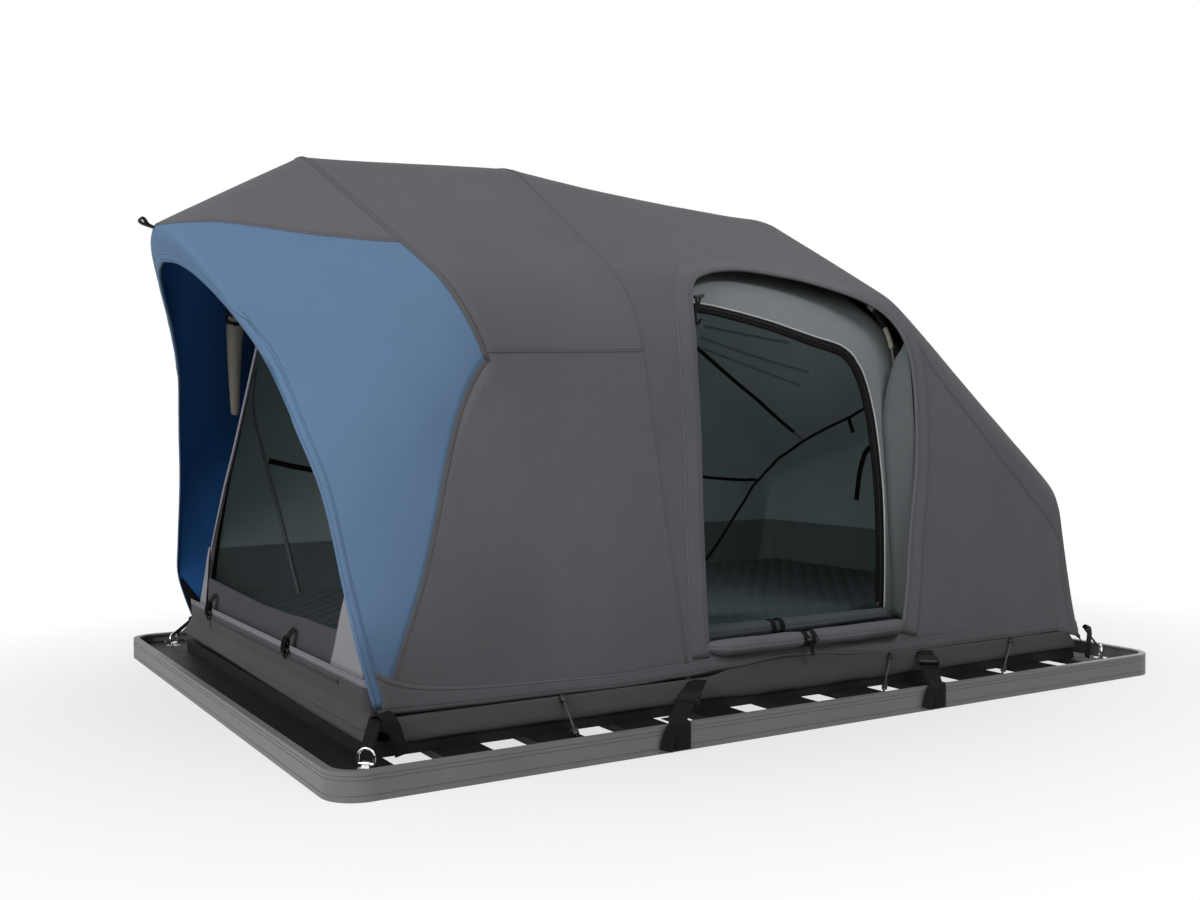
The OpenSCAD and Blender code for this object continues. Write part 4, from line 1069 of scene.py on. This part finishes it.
def addDoorPulls():
    bars, straps = bmesh.new(), bmesh.new()
    p, tu, ts, normal = roomFrame(*findOn(roomBase, *doorPulls["pull"], 2.8, -0.9))
    layBlock(bars, (0.012, 0.009, 0.018), Matrix.Translation(p + normal * 0.006), 0.002)
    hang = [p + normal * out + Vector((x, 0, z)) for out, x, z in
            ((0.009, 0, 0), (0.013, -0.006, -0.008), (0.012, -0.016, -0.014), (0.010, -0.034, -0.012))]
    layStrap(straps, curveThrough(hang, 14), Vector((0, 0, 1)), 0.012, 3)
    p, tu, ts, normal = roomFrame(*findOn(roomBase, *doorPulls["tie"], 2.1, -0.6))
    c = p + normal * 0.010
    layPin(bars, c + Vector((-0.012, 0, 0.030)), c + Vector((0.014, 0, 0.036)), 0.0042)
    for shift, lean in ((-0.006, -0.004), (0.006, -0.010)):
        loop = [c + normal * out + Vector((x, 0, z)) for out, x, z in
                ((0.0, shift, 0.034), (0.006, shift + lean, 0.012), (0.008, shift + 2 * lean, -0.014),
                 (0.006, -0.008, -0.034), (0.002, 0.004, -0.018))]
        layStrap(straps, curveThrough(loop, 20), Vector((1, 0, 0.2)), 0.007, 3)
    bar = keepPiece("doorPulls", bars, [mouldedBlack], "black_plastic", fold="room")
    return [bar, webPiece("doorPullStraps", straps, thickOf["strap"], fold="room")]


roomTrims += addDoorPulls()
print("inner room hung")

# quilted mattress: a crowned pad with slanting ribs and sewn channels between
bedPad = {"x0": -0.930, "x1": 0.936, "half": 0.505, "bottom": 0.0623, "thick": 0.124, "along": 228,
          "across": 126, "pitch": 0.037, "slant": 40, "dip": 0.0085, "tuft": 0.022}


def bedTop(x, y):
    c, d = cos(radians(bedPad["slant"])), sin(radians(bedPad["slant"]))
    puff = abs(sin(pi * (x * c - y * d) / bedPad["pitch"]))
    edge = 1.0
    for gap in (x - bedPad["x0"], bedPad["x1"] - x, bedPad["half"] - abs(y)):
        v = min(max(gap / 0.034, 0.0), 1.0)
        edge *= (1 - (1 - v) ** 2) ** 0.5
    tuft = abs(sin(pi * (x * d + y * c) / bedPad["tuft"]))
    pucker = noise.noise(Vector((x * 60, y * 40, 4.0))) * 0.0012
    pucker += noise.noise(Vector((x * 9, y * 7, 1.0))) * 0.0025
    pucker -= 0.0022 * (1 - tuft) ** 2 * puff
    high = bedPad["thick"] * (0.42 + 0.58 * edge) - bedPad["dip"] * edge * (1 - puff ** 0.4)
    return bedPad["bottom"] + high + pucker * edge - 0.003 * (1 - edge) * (1 - puff)


def addMattress():
    cols, rows = bedPad["along"], bedPad["across"]
    bm, spots = gridMesh(cols, rows)

    def place(i, j):
        x, y = mix(bedPad["x0"], bedPad["x1"], i / cols), bedPad["half"] * (2 * j / rows - 1)
        return Vector((x, y, bedTop(x, y)))

    layGrid(bm, spots, place, lambda i, j: (i / cols * 1.866, j / rows * 1.01))
    for v in bmesh.ops.extrude_edge_only(bm, edges=rimOf(bm))["geom"]:
        if isinstance(v, bmesh.types.BMVert):
            v.co.z = bedPad["bottom"] + 0.002
    bmesh.ops.subdivide_edges(bm, edges=[e for e in bm.edges if abs(e.verts[0].co.z - e.verts[1].co.z) > 0.02
                                         and len(e.link_faces) == 2], cuts=3)
    bmesh.ops.holes_fill(bm, edges=rimOf(bm), sides=0)
    bmesh.ops.recalc_face_normals(bm, faces=bm.faces)
    pad = keepPiece("mattressPad", bm, [bedCloth], "mattress", stands=("mattress",))
    return pad


addMattress()
print("mattress padded")

# floor tub: wall ring and floor, sill, binding and zip
tubShape = {"x0": -0.956, "x1": 0.952, "half": 0.585, "round": 0.040, "floor": 0.0595, "top": 0.137,
            "rows": 10, "high": 0.078, "thick": 0.0022}


def roundedRing(x0, x1, half, r, count):
    ring = []
    for k in range(4):
        cx = (x1 - r, x0 + r, x0 + r, x1 - r)[k]
        cy = (half - r, half - r, -half + r, -half + r)[k]
        for i in range(count + 1):
            a = pi / 2 * (k + i / count)
            ring.append(Vector((cx + r * cos(a), cy + r * sin(a), 0)))
    fine = []
    for a, b in zip(ring, ring[1:] + ring[:1]):
        steps = max(1, int((b - a).length / 0.03))
        fine += [a.lerp(b, k / steps) for k in range(steps)]
    return fine


# a wall of cloth round a ring; placeAt moves a ring point to its height q
def wallRound(plan, placeAt):
    ring, rows = roundedRing(plan["x0"], plan["x1"], plan["half"], plan["round"], 6), plan["rows"]
    run = lengthsAlong(ring + ring[:1])
    bm, spots = gridMesh(len(ring), rows)
    layGrid(bm, spots, lambda i, j: placeAt(ring[i % len(ring)].copy(), j / rows),
            lambda i, j: (run[i], j / rows * plan["high"]))
    bmesh.ops.remove_doubles(bm, verts=bm.verts, dist=0.0004)
    return bm


def addTub():
    def place(p, q):
        slack = noise.noise(Vector((p.x * 7, p.y * 7, q * 1.5))) * 0.0016 * sin(pi * q)
        p *= 1 - (0.0015 + abs(slack)) / max(p.length, 0.1)
        p.z = mix(tubShape["floor"], tubShape["top"], q)
        return p

    bm = wallRound(tubShape, place)
    low = tubShape["floor"] + 0.001
    bmesh.ops.holes_fill(bm, edges=[e for e in rimOf(bm) if max(v.co.z for v in e.verts) < low], sides=0)
    bmesh.ops.recalc_face_normals(bm, faces=bm.faces)
    if max(bm.faces, key=lambda f: f.calc_area()).normal.z > 0:
        bmesh.ops.reverse_faces(bm, faces=bm.faces)
    return keepPiece("floorTub", bm, [tubCloth, tubCloth], "tub", stands=("floor_tub",),
                     thick=tubShape["thick"])


# an upright strip of cloth across the front
def flatPatch(name, half, zAt, x, cols, rows, finish, slot, stands=(), thick=thickOf["panel"], bend=None):
    def place(i, j):
        y, q = mix(half, -half, i / cols), j / rows
        p = Vector((x, y, zAt(y, q)))
        return p + bend(y, q) if bend else p

    return gridPiece(name, cols, rows, place,
                     lambda i, j: (2 * half * i / cols, abs(zAt(-half, 1) - zAt(-half, 0)) * j / rows),
                     [finish, finish], slot, stands=stands, thick=thick)


tub = addTub()


sillPlan = {"half": 0.648, "round": 0.022, "low": 0.0600, "farUp": 0.014, "top": 0.165, "flare": 0.0150,
            "flareTop": 0.105, "spread": 0.035, "x": -0.9562}
bindPlan = {"low": 0.1515, "top": 0.1655, "x": -0.9592, "thick": 0.0016}
sillZip = {"half": 0.5, "low": 0.1345, "top": 0.1465, "x": -0.9582, "thick": 0.0008, "teeth": 700,
           "teethX": -0.9592, "teethZ": 0.1405, "toothRadius": 0.0014}


def cornerBack(y):
    r = sillPlan["round"]
    over = min(max(abs(y) - (sillPlan["half"] - r), 0.0), r * 0.98)
    return r - (r * r - over * over) ** 0.5


def sillBend(y, q):
    z = mix(sillPlan["low"], sillPlan["top"], q)
    flare = max(0.0, sillPlan["flareTop"] - z) / (sillPlan["flareTop"] - sillPlan["low"])
    wave = noise.noise(Vector((y * 6, q * 2.0, 8.0)))
    back = cornerBack(y) * (1 - flare)
    return Vector((-0.0012 - 0.0022 * abs(wave) * sin(pi * q) - sillPlan["flare"] * flare + back,
                   y * sillPlan["spread"] * flare, 0))


def sillLine(y, q):
    low = sillPlan["low"] + sillPlan["farUp"] * ramp(-sillPlan["half"], sillPlan["half"], y)
    return mix(low, sillPlan["top"], q)


sill = flatPatch("tubSill", sillPlan["half"], sillLine, sillPlan["x"], 100, 18, tubClothPaintedShade, "tub",
                 bend=sillBend)
binding = flatPatch("sillBinding", sillPlan["half"], lambda y, q: mix(bindPlan["low"], bindPlan["top"], q),
                    bindPlan["x"], 100, 4, sillBinding, "binding", stands=("sill_binding",),
                    thick=bindPlan["thick"], bend=lambda y, q: Vector((cornerBack(y), 0, 0)))
zipBand = flatPatch("sillZipTape", sillZip["half"], lambda y, q: mix(sillZip["low"], sillZip["top"], q),
                    sillZip["x"], 60, 3, tubClothPaintedShade, "zip", stands=("sill_zip",), thick=sillZip["thick"])


def addSillTeeth():
    bm = bmesh.new()
    ys = between(-sillZip["half"], sillZip["half"], sillZip["teeth"])
    layTeeth(bm, [Vector((sillZip["teethX"], y, sillZip["teethZ"])) for y in ys], sillZip["toothRadius"])
    return keepPiece("sillZipTeeth", bm, [sillTeethGrey], "zip")


sillTeeth = addSillTeeth()

# the tub's skirt laps over the edge of the base panel all round; its cloth is darkened as a painted shade under
# the hem
skirtPlan = {"x0": -0.9692, "x1": 0.9715, "half": 0.6722, "round": 0.034, "low": 0.054, "top": 0.098,
             "inX": 0.0150, "inY": 0.0200, "doorTop": 0.030, "frontLow": 0.079, "rows": 9, "high": 0.054}


def addSkirt():
    def place(p, q):
        rise = ramp(-0.21, -0.08, p.x) * (1 - ramp(0.28, 0.40, p.x)) if p.y < -0.6 else 0.0
        low = skirtPlan["low"] + 0.005 * noise.noise(Vector((p.x * 3, p.y * 3, 6.0))) - 0.004 * rise
        low = mix(low, skirtPlan["frontLow"], ramp(-0.90, -0.945, p.x))
        slack = 0.0016 * noise.noise(Vector((p.x * 9, p.y * 9, q * 2))) * sin(pi * q)
        p.x *= 1 - skirtPlan["inX"] * q
        p.y *= 1 - (skirtPlan["inY"] + 0.010 * rise) * max(0.0, q - 0.2) / 0.8 + abs(slack)
        p.z = mix(low, skirtPlan["top"] + skirtPlan["doorTop"] * rise, q)
        return p

    bm = wallRound(skirtPlan, place)
    bmesh.ops.recalc_face_normals(bm, faces=bm.faces)
    if sum(f.normal.dot(f.calc_center_median()) for f in bm.faces) < 0:
        bmesh.ops.reverse_faces(bm, faces=bm.faces)
    return keepPiece("tubSkirt", bm, [tubClothPaintedShade, tubClothPaintedShade], "tub", thick=thickOf["panel"])


addSkirt()

# front door let down over the sill, in loose folds
frontDoor = {"x": -0.9447, "half": 0.500, "foot": 0.120, "rise": 0.096, "cornerUp": 0.024, "slack": 0.0026,
             "turn": 0.0045, "drop": 0.012, "cols": 110, "rows": 22, "high": 0.12}


def frontDoorTop(y):
    return frontDoor["rise"] + frontDoor["cornerUp"] * abs(y) + 0.002 * noise.noise(Vector((y * 6, 3.0, 1.0)))


def addFrontDoor():
    cols, rows, turn = frontDoor["cols"], frontDoor["rows"], frontDoor["turn"]

    def place(i, j):
        y, q = mix(frontDoor["half"], -frontDoor["half"], i / cols), j / rows
        top = frontDoorTop(y)
        fold = noise.noise(Vector((y * 7, q * 1.6 + y * 2, 2.0))) * frontDoor["slack"] * min(q * 2, 1)
        if q <= 0.7:
            return Vector((frontDoor["x"] + fold, y, frontDoor["foot"] + top * q / 0.7))
        a = (q - 0.7) / 0.3 * pi * 1.15
        z = frontDoor["foot"] + top + turn * sin(a) - frontDoor["drop"] * max(0, (a - pi / 2) / pi)
        return Vector((frontDoor["x"] + fold + turn * (1 - cos(a)), y, z))

    return gridPiece("frontDoorPanel", cols, rows, place, flatUv(cols, rows, (1.0, frontDoor["high"])),
                     [panelCloth, panelCloth], "dark_cloth", stands=("front_door_panel",),
                     thick=thickOf["panel"])


addFrontDoor()
print("tub and sill sewn")


# light gussets at the foot of the front opening
gussets = {"Near": {"outer": (-0.612, -0.545), "inner": (-0.424, -0.497)},
           "Far": {"outer": (0.574, 0.510), "inner": (0.515, 0.498)}}
gussetPlan = {"x": (-0.9508, -0.9418), "z": (0.150, 0.312), "slack": 0.0016, "cols": 14, "rows": 18,
              "flat": (0.13, 0.16)}


def addGussets():
    cols, rows, flat = gussetPlan["cols"], gussetPlan["rows"], gussetPlan["flat"]
    for label, edge in gussets.items():
        low, high = sorted((edge["outer"], edge["inner"]))

        def place(i, j, low=low, high=high):
            q = j / rows
            y = mix(mix(*high, q), mix(*low, q), i / cols)
            slack = gussetPlan["slack"] * noise.noise(Vector((y * 14, q * 2.2, 9.0)))
            return Vector((mix(*gussetPlan["x"], q) + slack, y, mix(*gussetPlan["z"], q)))

        piece = gridPiece("frontGusset" + label, cols, rows, place, flatUv(cols, rows, flat),
                          [jambCloth, jambCloth], "room", thick=thickOf["strap"], fold="room")


addGussets()


# a door rolled up on itself: a spiral of cloth with an uneven surface
def layRoll(bm, start, end, outer, inner, turns, cols, seed, ties, taper, sag, tuck):
    rows = turns * 20
    base, spots = gridMesh(cols, rows)
    way = (end - start).normalized()
    side = way.cross(Vector((0, 0, 1))).normalized()
    up = side.cross(way)
    flat = [0.0]
    for j in range(rows):
        flat.append(flat[-1] + mix(inner, outer, j / rows) * 2 * pi * turns / rows)

    def place(i, j):
        q, a = i / cols, 2 * pi * turns * j / rows
        r = mix(inner, outer, j / rows)
        soft = noise.noise(Vector((q * 7 + seed, cos(a) * 1.1, sin(a) * 1.1)))
        twist = noise.noise(Vector((q * 22 + seed, cos(a + q * 5), sin(a + q * 5))))
        r *= (1 + (0.10 * soft + 0.04 * twist) * j / rows - 0.06) * mix(1.0, taper, q)
        for tie in ties:
            r *= 1 - 0.26 * 2.718 ** -(((q - tie) / 0.035) ** 2) * j / rows
        hidden = tuck * (1 - ramp(0.0, 0.09, q) * ramp(1.0, 0.91, q))
        r *= 1 - hidden.length / 0.055
        slip = 0.004 * noise.noise(Vector((j / 20.0, seed, 3.0))) * (1 if q > 0.5 else -1) * abs(2 * q - 1)
        centre = start + way * ((end - start).length * q + slip)
        return centre + (side * cos(a) + up * sin(a)) * r + sag * sin(pi * q) + hidden

    layGrid(base, spots, place, lambda i, j: ((end - start).length * i / cols, flat[j]))
    addTo(bm, base)
    return flat[-1]


# a webbing tie round a roll
def layTie(bm, centre, way, radius, width):
    side = way.cross(Vector((0, 0, 1))).normalized()
    up = side.cross(way)
    ring = [centre + (side * cos(a) + up * sin(a)) * radius for a in between(0, 2 * pi, 28)]
    layStrap(bm, ring, way, width, 3)


rollTie = {"apart": 0.012, "pinch": 0.80, "wide": 0.011}
doorRolls = {
    "flyDoorRoll": {"from": (-0.214, -0.664, 0.1575), "to": (0.372, -0.664, 0.1600), "r": 0.0205, "turns": 6,
                    "cloth": rollCloth, "slot": "roll", "node": "fly_door_roll", "seed": 2.0, "fold": None,
                    "ties": (0.459,), "taper": 1.0, "sag": (0, 0, -0.0015), "tuck": (0, 0.022, 0),
                    "on": ("flyMain",)},
    "innerDoorRoll": {"from": (-0.180, -0.602, 0.1770), "to": (0.352, -0.602, 0.1820), "r": 0.0230,
                      "turns": 5,
                      "cloth": tealCloth, "slot": "teal_roll", "node": "inner_door_roll", "seed": 7.0,
                      "fold": "roll",
                      "ties": (0.367,), "taper": 0.70, "sag": (0, 0, -0.001), "tuck": (0, 0, 0),
                      "on": ("innerRoom",)},
    "frontFlapRoll": {"from": (-0.9310, 0.2900, 0.908), "to": (-0.8850, 0.4620, 0.6560), "r": 0.0255,
                      "turns": 4,
                      "cloth": sandCloth, "slot": "sleeve", "node": "front_flap_roll", "seed": 11.0,
                      "fold": "fly",
                      "ties": (0.06,), "taper": 0.45, "sag": (-0.004, -0.006, 0.0), "tuck": (0, 0, 0),
                      "on": ("awning",)},
}


def addRolls():
    for name, roll in doorRolls.items():
        a, b = Vector(roll["from"]), Vector(roll["to"])
        bm = bmesh.new()
        sag = Vector(roll["sag"])
        wound = layRoll(bm, a, b, roll["r"], 0.004, roll["turns"], 80, roll["seed"], roll["ties"],
                        roll["taper"], sag, Vector(roll["tuck"]))
        piece = keepPiece(name, bm, [roll["cloth"], roll["cloth"]], roll["slot"], stands=(roll["node"],),
                          thick=thickOf["trim"], fold=roll["fold"])
        ties = bmesh.new()
        for q in roll["ties"]:
            for shift in (-rollTie["apart"], rollTie["apart"]):
                radius = roll["r"] * mix(1.0, roll["taper"], q) * rollTie["pinch"]
                centre = a.lerp(b, q) + (b - a).normalized() * shift + sag * sin(pi * q)
                layTie(ties, centre, (b - a).normalized(), radius, rollTie["wide"])
        tie = webPiece(name + "Ties", ties, thickOf["tie"], fold=roll["fold"])
        length, wound = (b - a).length, wound * (1 + roll["taper"]) / 2
        round(min(wound, length), 3)
        round(max(wound, length), 3)
        list(roll["on"])


addRolls()

# bars and loops that hold the doors
toggleBars = {"sill": (-0.195, 0.426), "sillX": -0.9616, "sillZ": 0.154, "roll": (0.055,),
              "rollY": -0.6877, "rollZ": 0.158, "half": 0.017, "radius": 0.0040,
              "sillLoop": ((0.012, -0.022, 0.046), (0.005, -0.019, 0.040), (-0.003, -0.012, 0.026),
                           (-0.0062, -0.002, 0.006), (-0.0052, 0.004, -0.005), (-0.0012, 0.007, -0.011),
                           (-0.0040, 0.010, -0.016)),
              "rollLoop": ((0, 0.004, 0.014), (0, -0.0030, 0.009), (0, -0.0045, 0.001), (0, -0.002, -0.005),
                           (0, 0.003, -0.012), (0.002, 0.004, -0.026), (0.004, 0.002, -0.036))}


def addToggles():
    bars, loops = bmesh.new(), bmesh.new()
    half, r = toggleBars["half"], toggleBars["radius"]
    for y in toggleBars["sill"]:
        c = Vector((toggleBars["sillX"], y, toggleBars["sillZ"]))
        layPin(bars, c - Vector((0, half, 0)), c + Vector((0, half, 0)), r)
        hang = [c + Vector(p) for p in toggleBars["sillLoop"]]
        layStrap(loops, curveThrough(hang, 30), Vector((0, 0.90, 0.44)), 0.018, 3)
        for side in (-0.008, 0.008):
            eye = [c + Vector((-0.004 - 0.0045 * sin(a), side - 0.004 - 0.009 * cos(a),
                               0.012 + 0.018 * cos(a))) for a in between(0, 2 * pi, 20)]
            layTube(loops, eye, 0.0022, 7, closedEnds=False)
    for x in toggleBars["roll"]:
        c = Vector((x, toggleBars["rollY"], toggleBars["rollZ"]))
        layPin(bars, c - Vector((half, 0, 0)), c + Vector((half, 0, 0)), r)
        hang = [c + Vector(p) for p in toggleBars["rollLoop"]]
        layStrap(loops, curveThrough(hang, 24), Vector((1, 0, 0)), 0.010, 3)
    keepPiece("doorBars", bars, [mouldedBlack], "black_plastic", stands=("door_toggles",))
    webPiece("doorBarLoops", loops, thickOf["strap"])


addToggles()
print("doors rolled and tied")

# webbing: side straps over the rail, corner straps on their rings
strapPlan = {"top": (0.671, 0.092), "low": (0.799, 0.0554), "sides": ((-0.245, 0.140), (0.412, 0.105)),
             "width": 0.038, "gap": 0.025, "buckleAt": 0.42, "under": 0.010, "railIn": 0.773,
             "railOut": 0.8164, "cornerWidth": 0.025, "thick": 0.0017, "pull": 0.0175,
             "tail": ((-0.006, -0.012, 0.0580), (-0.014, -0.002, 0.0572), (-0.024, 0.0036, 0.0490),
                      (-0.034, 0.0042, 0.0300), (-0.040, 0.0040, 0.0060))}


def addStraps():
    bm = bmesh.new()
    half = strapPlan["thick"] / 2
    for label, sign in sides:
        for n, (x, slant) in enumerate(strapPlan["sides"]):
            top = Vector((x, sign * strapPlan["top"][0], strapPlan["top"][1]))
            low = Vector((x - slant, sign * strapPlan["low"][0], strapPlan["low"][1]))
            way = (low - top).normalized()
            across = way.cross(Vector((0, 0, 1))).normalized()
            lift = across.cross(way).normalized() * half
            buckle = (low - top).length * strapPlan["buckleAt"]
            upper = bm if n else bmesh.new()
            length = buckle - strapPlan["gap"] + strapPlan["under"]
            line = [top + lift + way * (length * k / 6 - strapPlan["under"]) for k in range(7)]
            layStrap(upper, line, across, strapPlan["width"])
            if not n:
                side = label.lower()
                piece = webPiece(side + "TongueStrap", upper, strapPlan["thick"])
                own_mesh(piece)
            rest = (low - top).length - buckle - strapPlan["gap"]
            line = [top + lift + way * (buckle + strapPlan["gap"] + rest * k / 8) for k in range(9)]
            layStrap(bm, line, across, strapPlan["width"])
            y0, y1 = strapPlan["railIn"], strapPlan["railOut"]
            over = [Vector((x - slant, sign * y, z)) for y, z in
                    ((y0, 0.0555), (mix(y0, y1, 0.5), 0.0555), (y1 - 0.006, 0.0552), (y1, 0.0520),
                     (y1 + 0.0008, 0.0440), (y1 + 0.0009, 0.0250), (y1 + 0.0006, 0.0030))]
            layStrap(bm, curveThrough(over, 30), Vector((sign, 0, 0)), strapPlan["width"])
            loose = [Vector((x - slant + dx, sign * (y1 + dy), z)) for dx, dy, z in strapPlan["tail"]]
            slanting = Vector((sign * 0.94, 0, sign * -0.30))
            layStrap(bm, curveThrough(loose, 24), slanting, strapPlan["width"] * 0.8)
    return webPiece("sideStraps", bm, strapPlan["thick"], stands=("side_straps",))


cornerPlan = {"ring": ((-0.985, 0.714), (0.994, 0.714)), "cloth": ((-0.9455, 0.662), (0.972, 0.681)),
              "ringZ": 0.061, "clothZ": 0.105, "start": (0.0048, 0.0055),
              "tail": ((0, 0, -0.002), (0.006, 0.002, 0.005), (0.017, 0.008, 0.007), (0.027, 0.017, -0.007),
                       (0.031, 0.026, -0.033), (0.034, 0.035, -0.068))}


def addCornerStraps():
    bm = bmesh.new()
    for end in (0, 1):
        for sign in (-1, 1):
            c = Vector((cornerPlan["ring"][end][0], sign * cornerPlan["ring"][end][1], 0))
            f = Vector((cornerPlan["cloth"][end][0], sign * cornerPlan["cloth"][end][1], 0))
            way = (f - c).normalized()
            across = way.cross(Vector((0, 0, 1))).normalized() * sign
            a = c + way * cornerPlan["start"][end] + Vector((0, 0, cornerPlan["ringZ"]))
            b = f - way * 0.001 + Vector((0, 0, cornerPlan["clothZ"]))
            layStrap(bm, [a.lerp(b, k / 8) for k in range(9)], across, strapPlan["cornerWidth"])
            # the loose tail turns out over the strap and hangs
            out, along = Vector((0, sign, 0)), Vector((1 if end == 0 else -1, 0, 0))
            tail = [b + out * o + along * x + Vector((0, 0, z)) for o, x, z in cornerPlan["tail"]]
            flat = (along * 0.93 + out * 0.20 + Vector((0, 0, 0.30))).normalized()
            layStrap(bm, curveThrough(tail, 26), flat, strapPlan["cornerWidth"])
    return webPiece("cornerStraps", bm, strapPlan["thick"], stands=("corner_straps",))


hemCordPlan = {"xs": ((-0.562, -0.566), (0.311, 0.229), (0.721, 0.615)), "top": (0.661, 0.0975),
               "low": (0.726, 0.0326), "radius": 0.0026, "end": (0.012, 0.009, 0.016), "endsAt": (0.88, 0.06)}


def addHemCords():
    bm, ends = bmesh.new(), bmesh.new()
    for sign in (-1, 1):
        for x0, x1 in hemCordPlan["xs"]:
            a = Vector((x0, sign * hemCordPlan["top"][0], hemCordPlan["top"][1]))
            b = Vector((x1, sign * hemCordPlan["low"][0], hemCordPlan["low"][1]))
            layTube(bm, [a.lerp(b, k / 10) for k in range(11)], hemCordPlan["radius"], 10)
            turn = (b - a).normalized().to_track_quat("Z", "Y").to_matrix().to_4x4()
            for q in hemCordPlan["endsAt"]:
                layBlock(ends, hemCordPlan["end"], Matrix.Translation(a.lerp(b, q)) @ turn, 0.002)
    keepPiece("hemCordEnds", ends, [mouldedBlack], "black_plastic")
    return keepPiece("hemCords", bm, [poleCoat], "webbing", stands=("hem_cords",))


addStraps()
addCornerStraps()
addHemCords()
print("straps and cords set")

# cloth sleeves on the hoop shoulders
sleevePlan = {"frontSleeves": ("front", 0.1, 0.8, "front_sleeves", "front_hoop_frame"),
              "rearSleeves": ("rear", 0.2, 0.95, "rear_sleeves", "rear_hoop_frame")}
sleeveSize = {"radius": 0.0064, "band": (0.5, 0.82), "bandRadius": 0.0076}


# points along a hoop's shoulder on one side
def shoulderLine(f, q0, q1, count, sign):
    points = [archPoint(f, 0.3 + 0.26 * q, 0.0) / 1000 for q in between(q0, q1, count)]
    return [Vector((p.x, sign * p.y, p.z)) for p in points]


def addSleeves():
    for name, (hoop, q0, q1, node, body) in sleevePlan.items():
        bm = bmesh.new()
        f = hoops[hoop]
        for sign in (-1, 1):
            layTube(bm, shoulderLine(f, q0, q1, 40, sign), sleeveSize["radius"], 14, closedEnds=False,
                    swell=lambda i, a: 1 + 0.05 * noise.noise(Vector((i * 0.5, cos(a), sin(a)))))
        if hoop == "rear":
            band = bmesh.new()
            for sign in (-1, 1):
                layTube(band, shoulderLine(f, *sleeveSize["band"], 14, sign), sleeveSize["bandRadius"], 14,
                        closedEnds=False)
            webPiece("sleeveBands", band, thickOf["sleeve"], body=body)
        piece = keepPiece(name, bm, [sandCloth], "sleeve", body=body, stands=(node,), thick=thickOf["sleeve"])


addSleeves()

# pale floor and soft studio light; to the camera both fade to plain white
studio = {"floorRadius": 30.0, "floorTone": (0.40, 0.40, 0.40), "ambient": 0.26, "plainLeast": 0.72,
          "clear": (1.45, 1.15)}


# 1 for rays that show the surroundings to the camera, straight or by a glint
def seenRays(tree):
    rays = wire(tree, "LightPath").outputs
    return calc(tree, "MAXIMUM", rays["Is Camera Ray"], calc(tree, "MAXIMUM", rays["Is Glossy Ray"],
                                                             rays["Is Transmission Ray"]))


def addStage():
    bm = bmesh.new()
    bmesh.ops.create_circle(bm, cap_ends=True, cap_tris=False, segments=96, radius=studio["floorRadius"])
    mesh = bpy.data.meshes.new("studioFloor")
    bm.to_mesh(mesh)
    bm.free()
    floorPiece = bpy.data.objects.new("studioFloor", mesh)
    mat, tree, shader = newFinish("studioFloor", 0.9)
    where = wire(tree, "TexCoord").outputs["Object"]
    grain = noiseOf(tree, where, 40.0, 3.0)
    tone = blendTone(tree, grain, scaled(studio["floorTone"], 0.99), scaled(studio["floorTone"], 1.01))
    tree.links.new(tone, shader.inputs["Base Color"])
    parts = wire(tree, "SeparateXYZ", {0: where}).outputs
    ways = [calc(tree, "POWER", calc(tree, "DIVIDE", parts[k], studio["clear"][k]), 2.0) for k in (0, 1)]
    away = calc(tree, "SQRT", calc(tree, "ADD", *ways))
    plain = calc(tree, "MULTIPLY", span(tree, away, 0.75, 1.5, studio["plainLeast"], 1.0), seenRays(tree))
    glow = wire(tree, "Emission", {"Color": (1, 1, 1, 1), "Strength": 1.0})
    both = wire(tree, "MixShader", {0: plain, 1: shader.outputs[0], 2: glow.outputs[0]})
    tree.links.new(both.outputs[0], tree.nodes["Material Output"].inputs["Surface"])
    mesh.materials.append(mat)
    scene.collection.objects.link(floorPiece)


def addWorld():
    world = bpy.data.worlds.new("studioAir")
    scene.world = world
    world.use_nodes = True
    tree = world.node_tree
    tree.nodes.clear()
    soft = wire(tree, "Background", {"Color": (1, 1, 1, 1), "Strength": studio["ambient"]})
    white = wire(tree, "Background", {"Color": (1, 1, 1, 1), "Strength": 1.0})
    both = wire(tree, "MixShader", {0: seenRays(tree), 1: soft.outputs[0], 2: white.outputs[0]})
    wire(tree, "OutputWorld", {"Surface": both.outputs[0]})


softBoxes = {
    "frontBox": {"at": (-4.6, -1.6, 2.3), "size": (2.6, 2.2), "watts": 126},
    "sideBox": {"at": (0.4, -4.5, 4.3), "size": (3.2, 1.6), "watts": 112},
    "topBox": {"at": (0.5, 0.6, 4.2), "size": (3.0, 3.0), "watts": 2},
    "tailBox": {"at": (4.5, 1.5, 2.8), "size": (2.0, 2.0), "watts": 36},
    "roomFill": {"at": (0.0, -0.50, 0.50), "size": (0.35, 0.45), "watts": 1.2, "to": (0.5, 0.55, 0.62)},
}


def addLights():
    for name, box in softBoxes.items():
        lamp = bpy.data.lights.new(name, "AREA")
        lamp.shape = "RECTANGLE"
        lamp.size, lamp.size_y = box["size"]
        lamp.energy = box["watts"]
        piece = bpy.data.objects.new(name, lamp)
        piece.location = box["at"]
        piece.visible_camera = False
        way = Vector(box.get("to", (0, 0, 0.5))) - piece.location
        piece.rotation_euler = way.to_track_quat("-Z", "Y").to_euler()
        scene.collection.objects.link(piece)


addStage()
addWorld()
addLights()
print("studio lit")
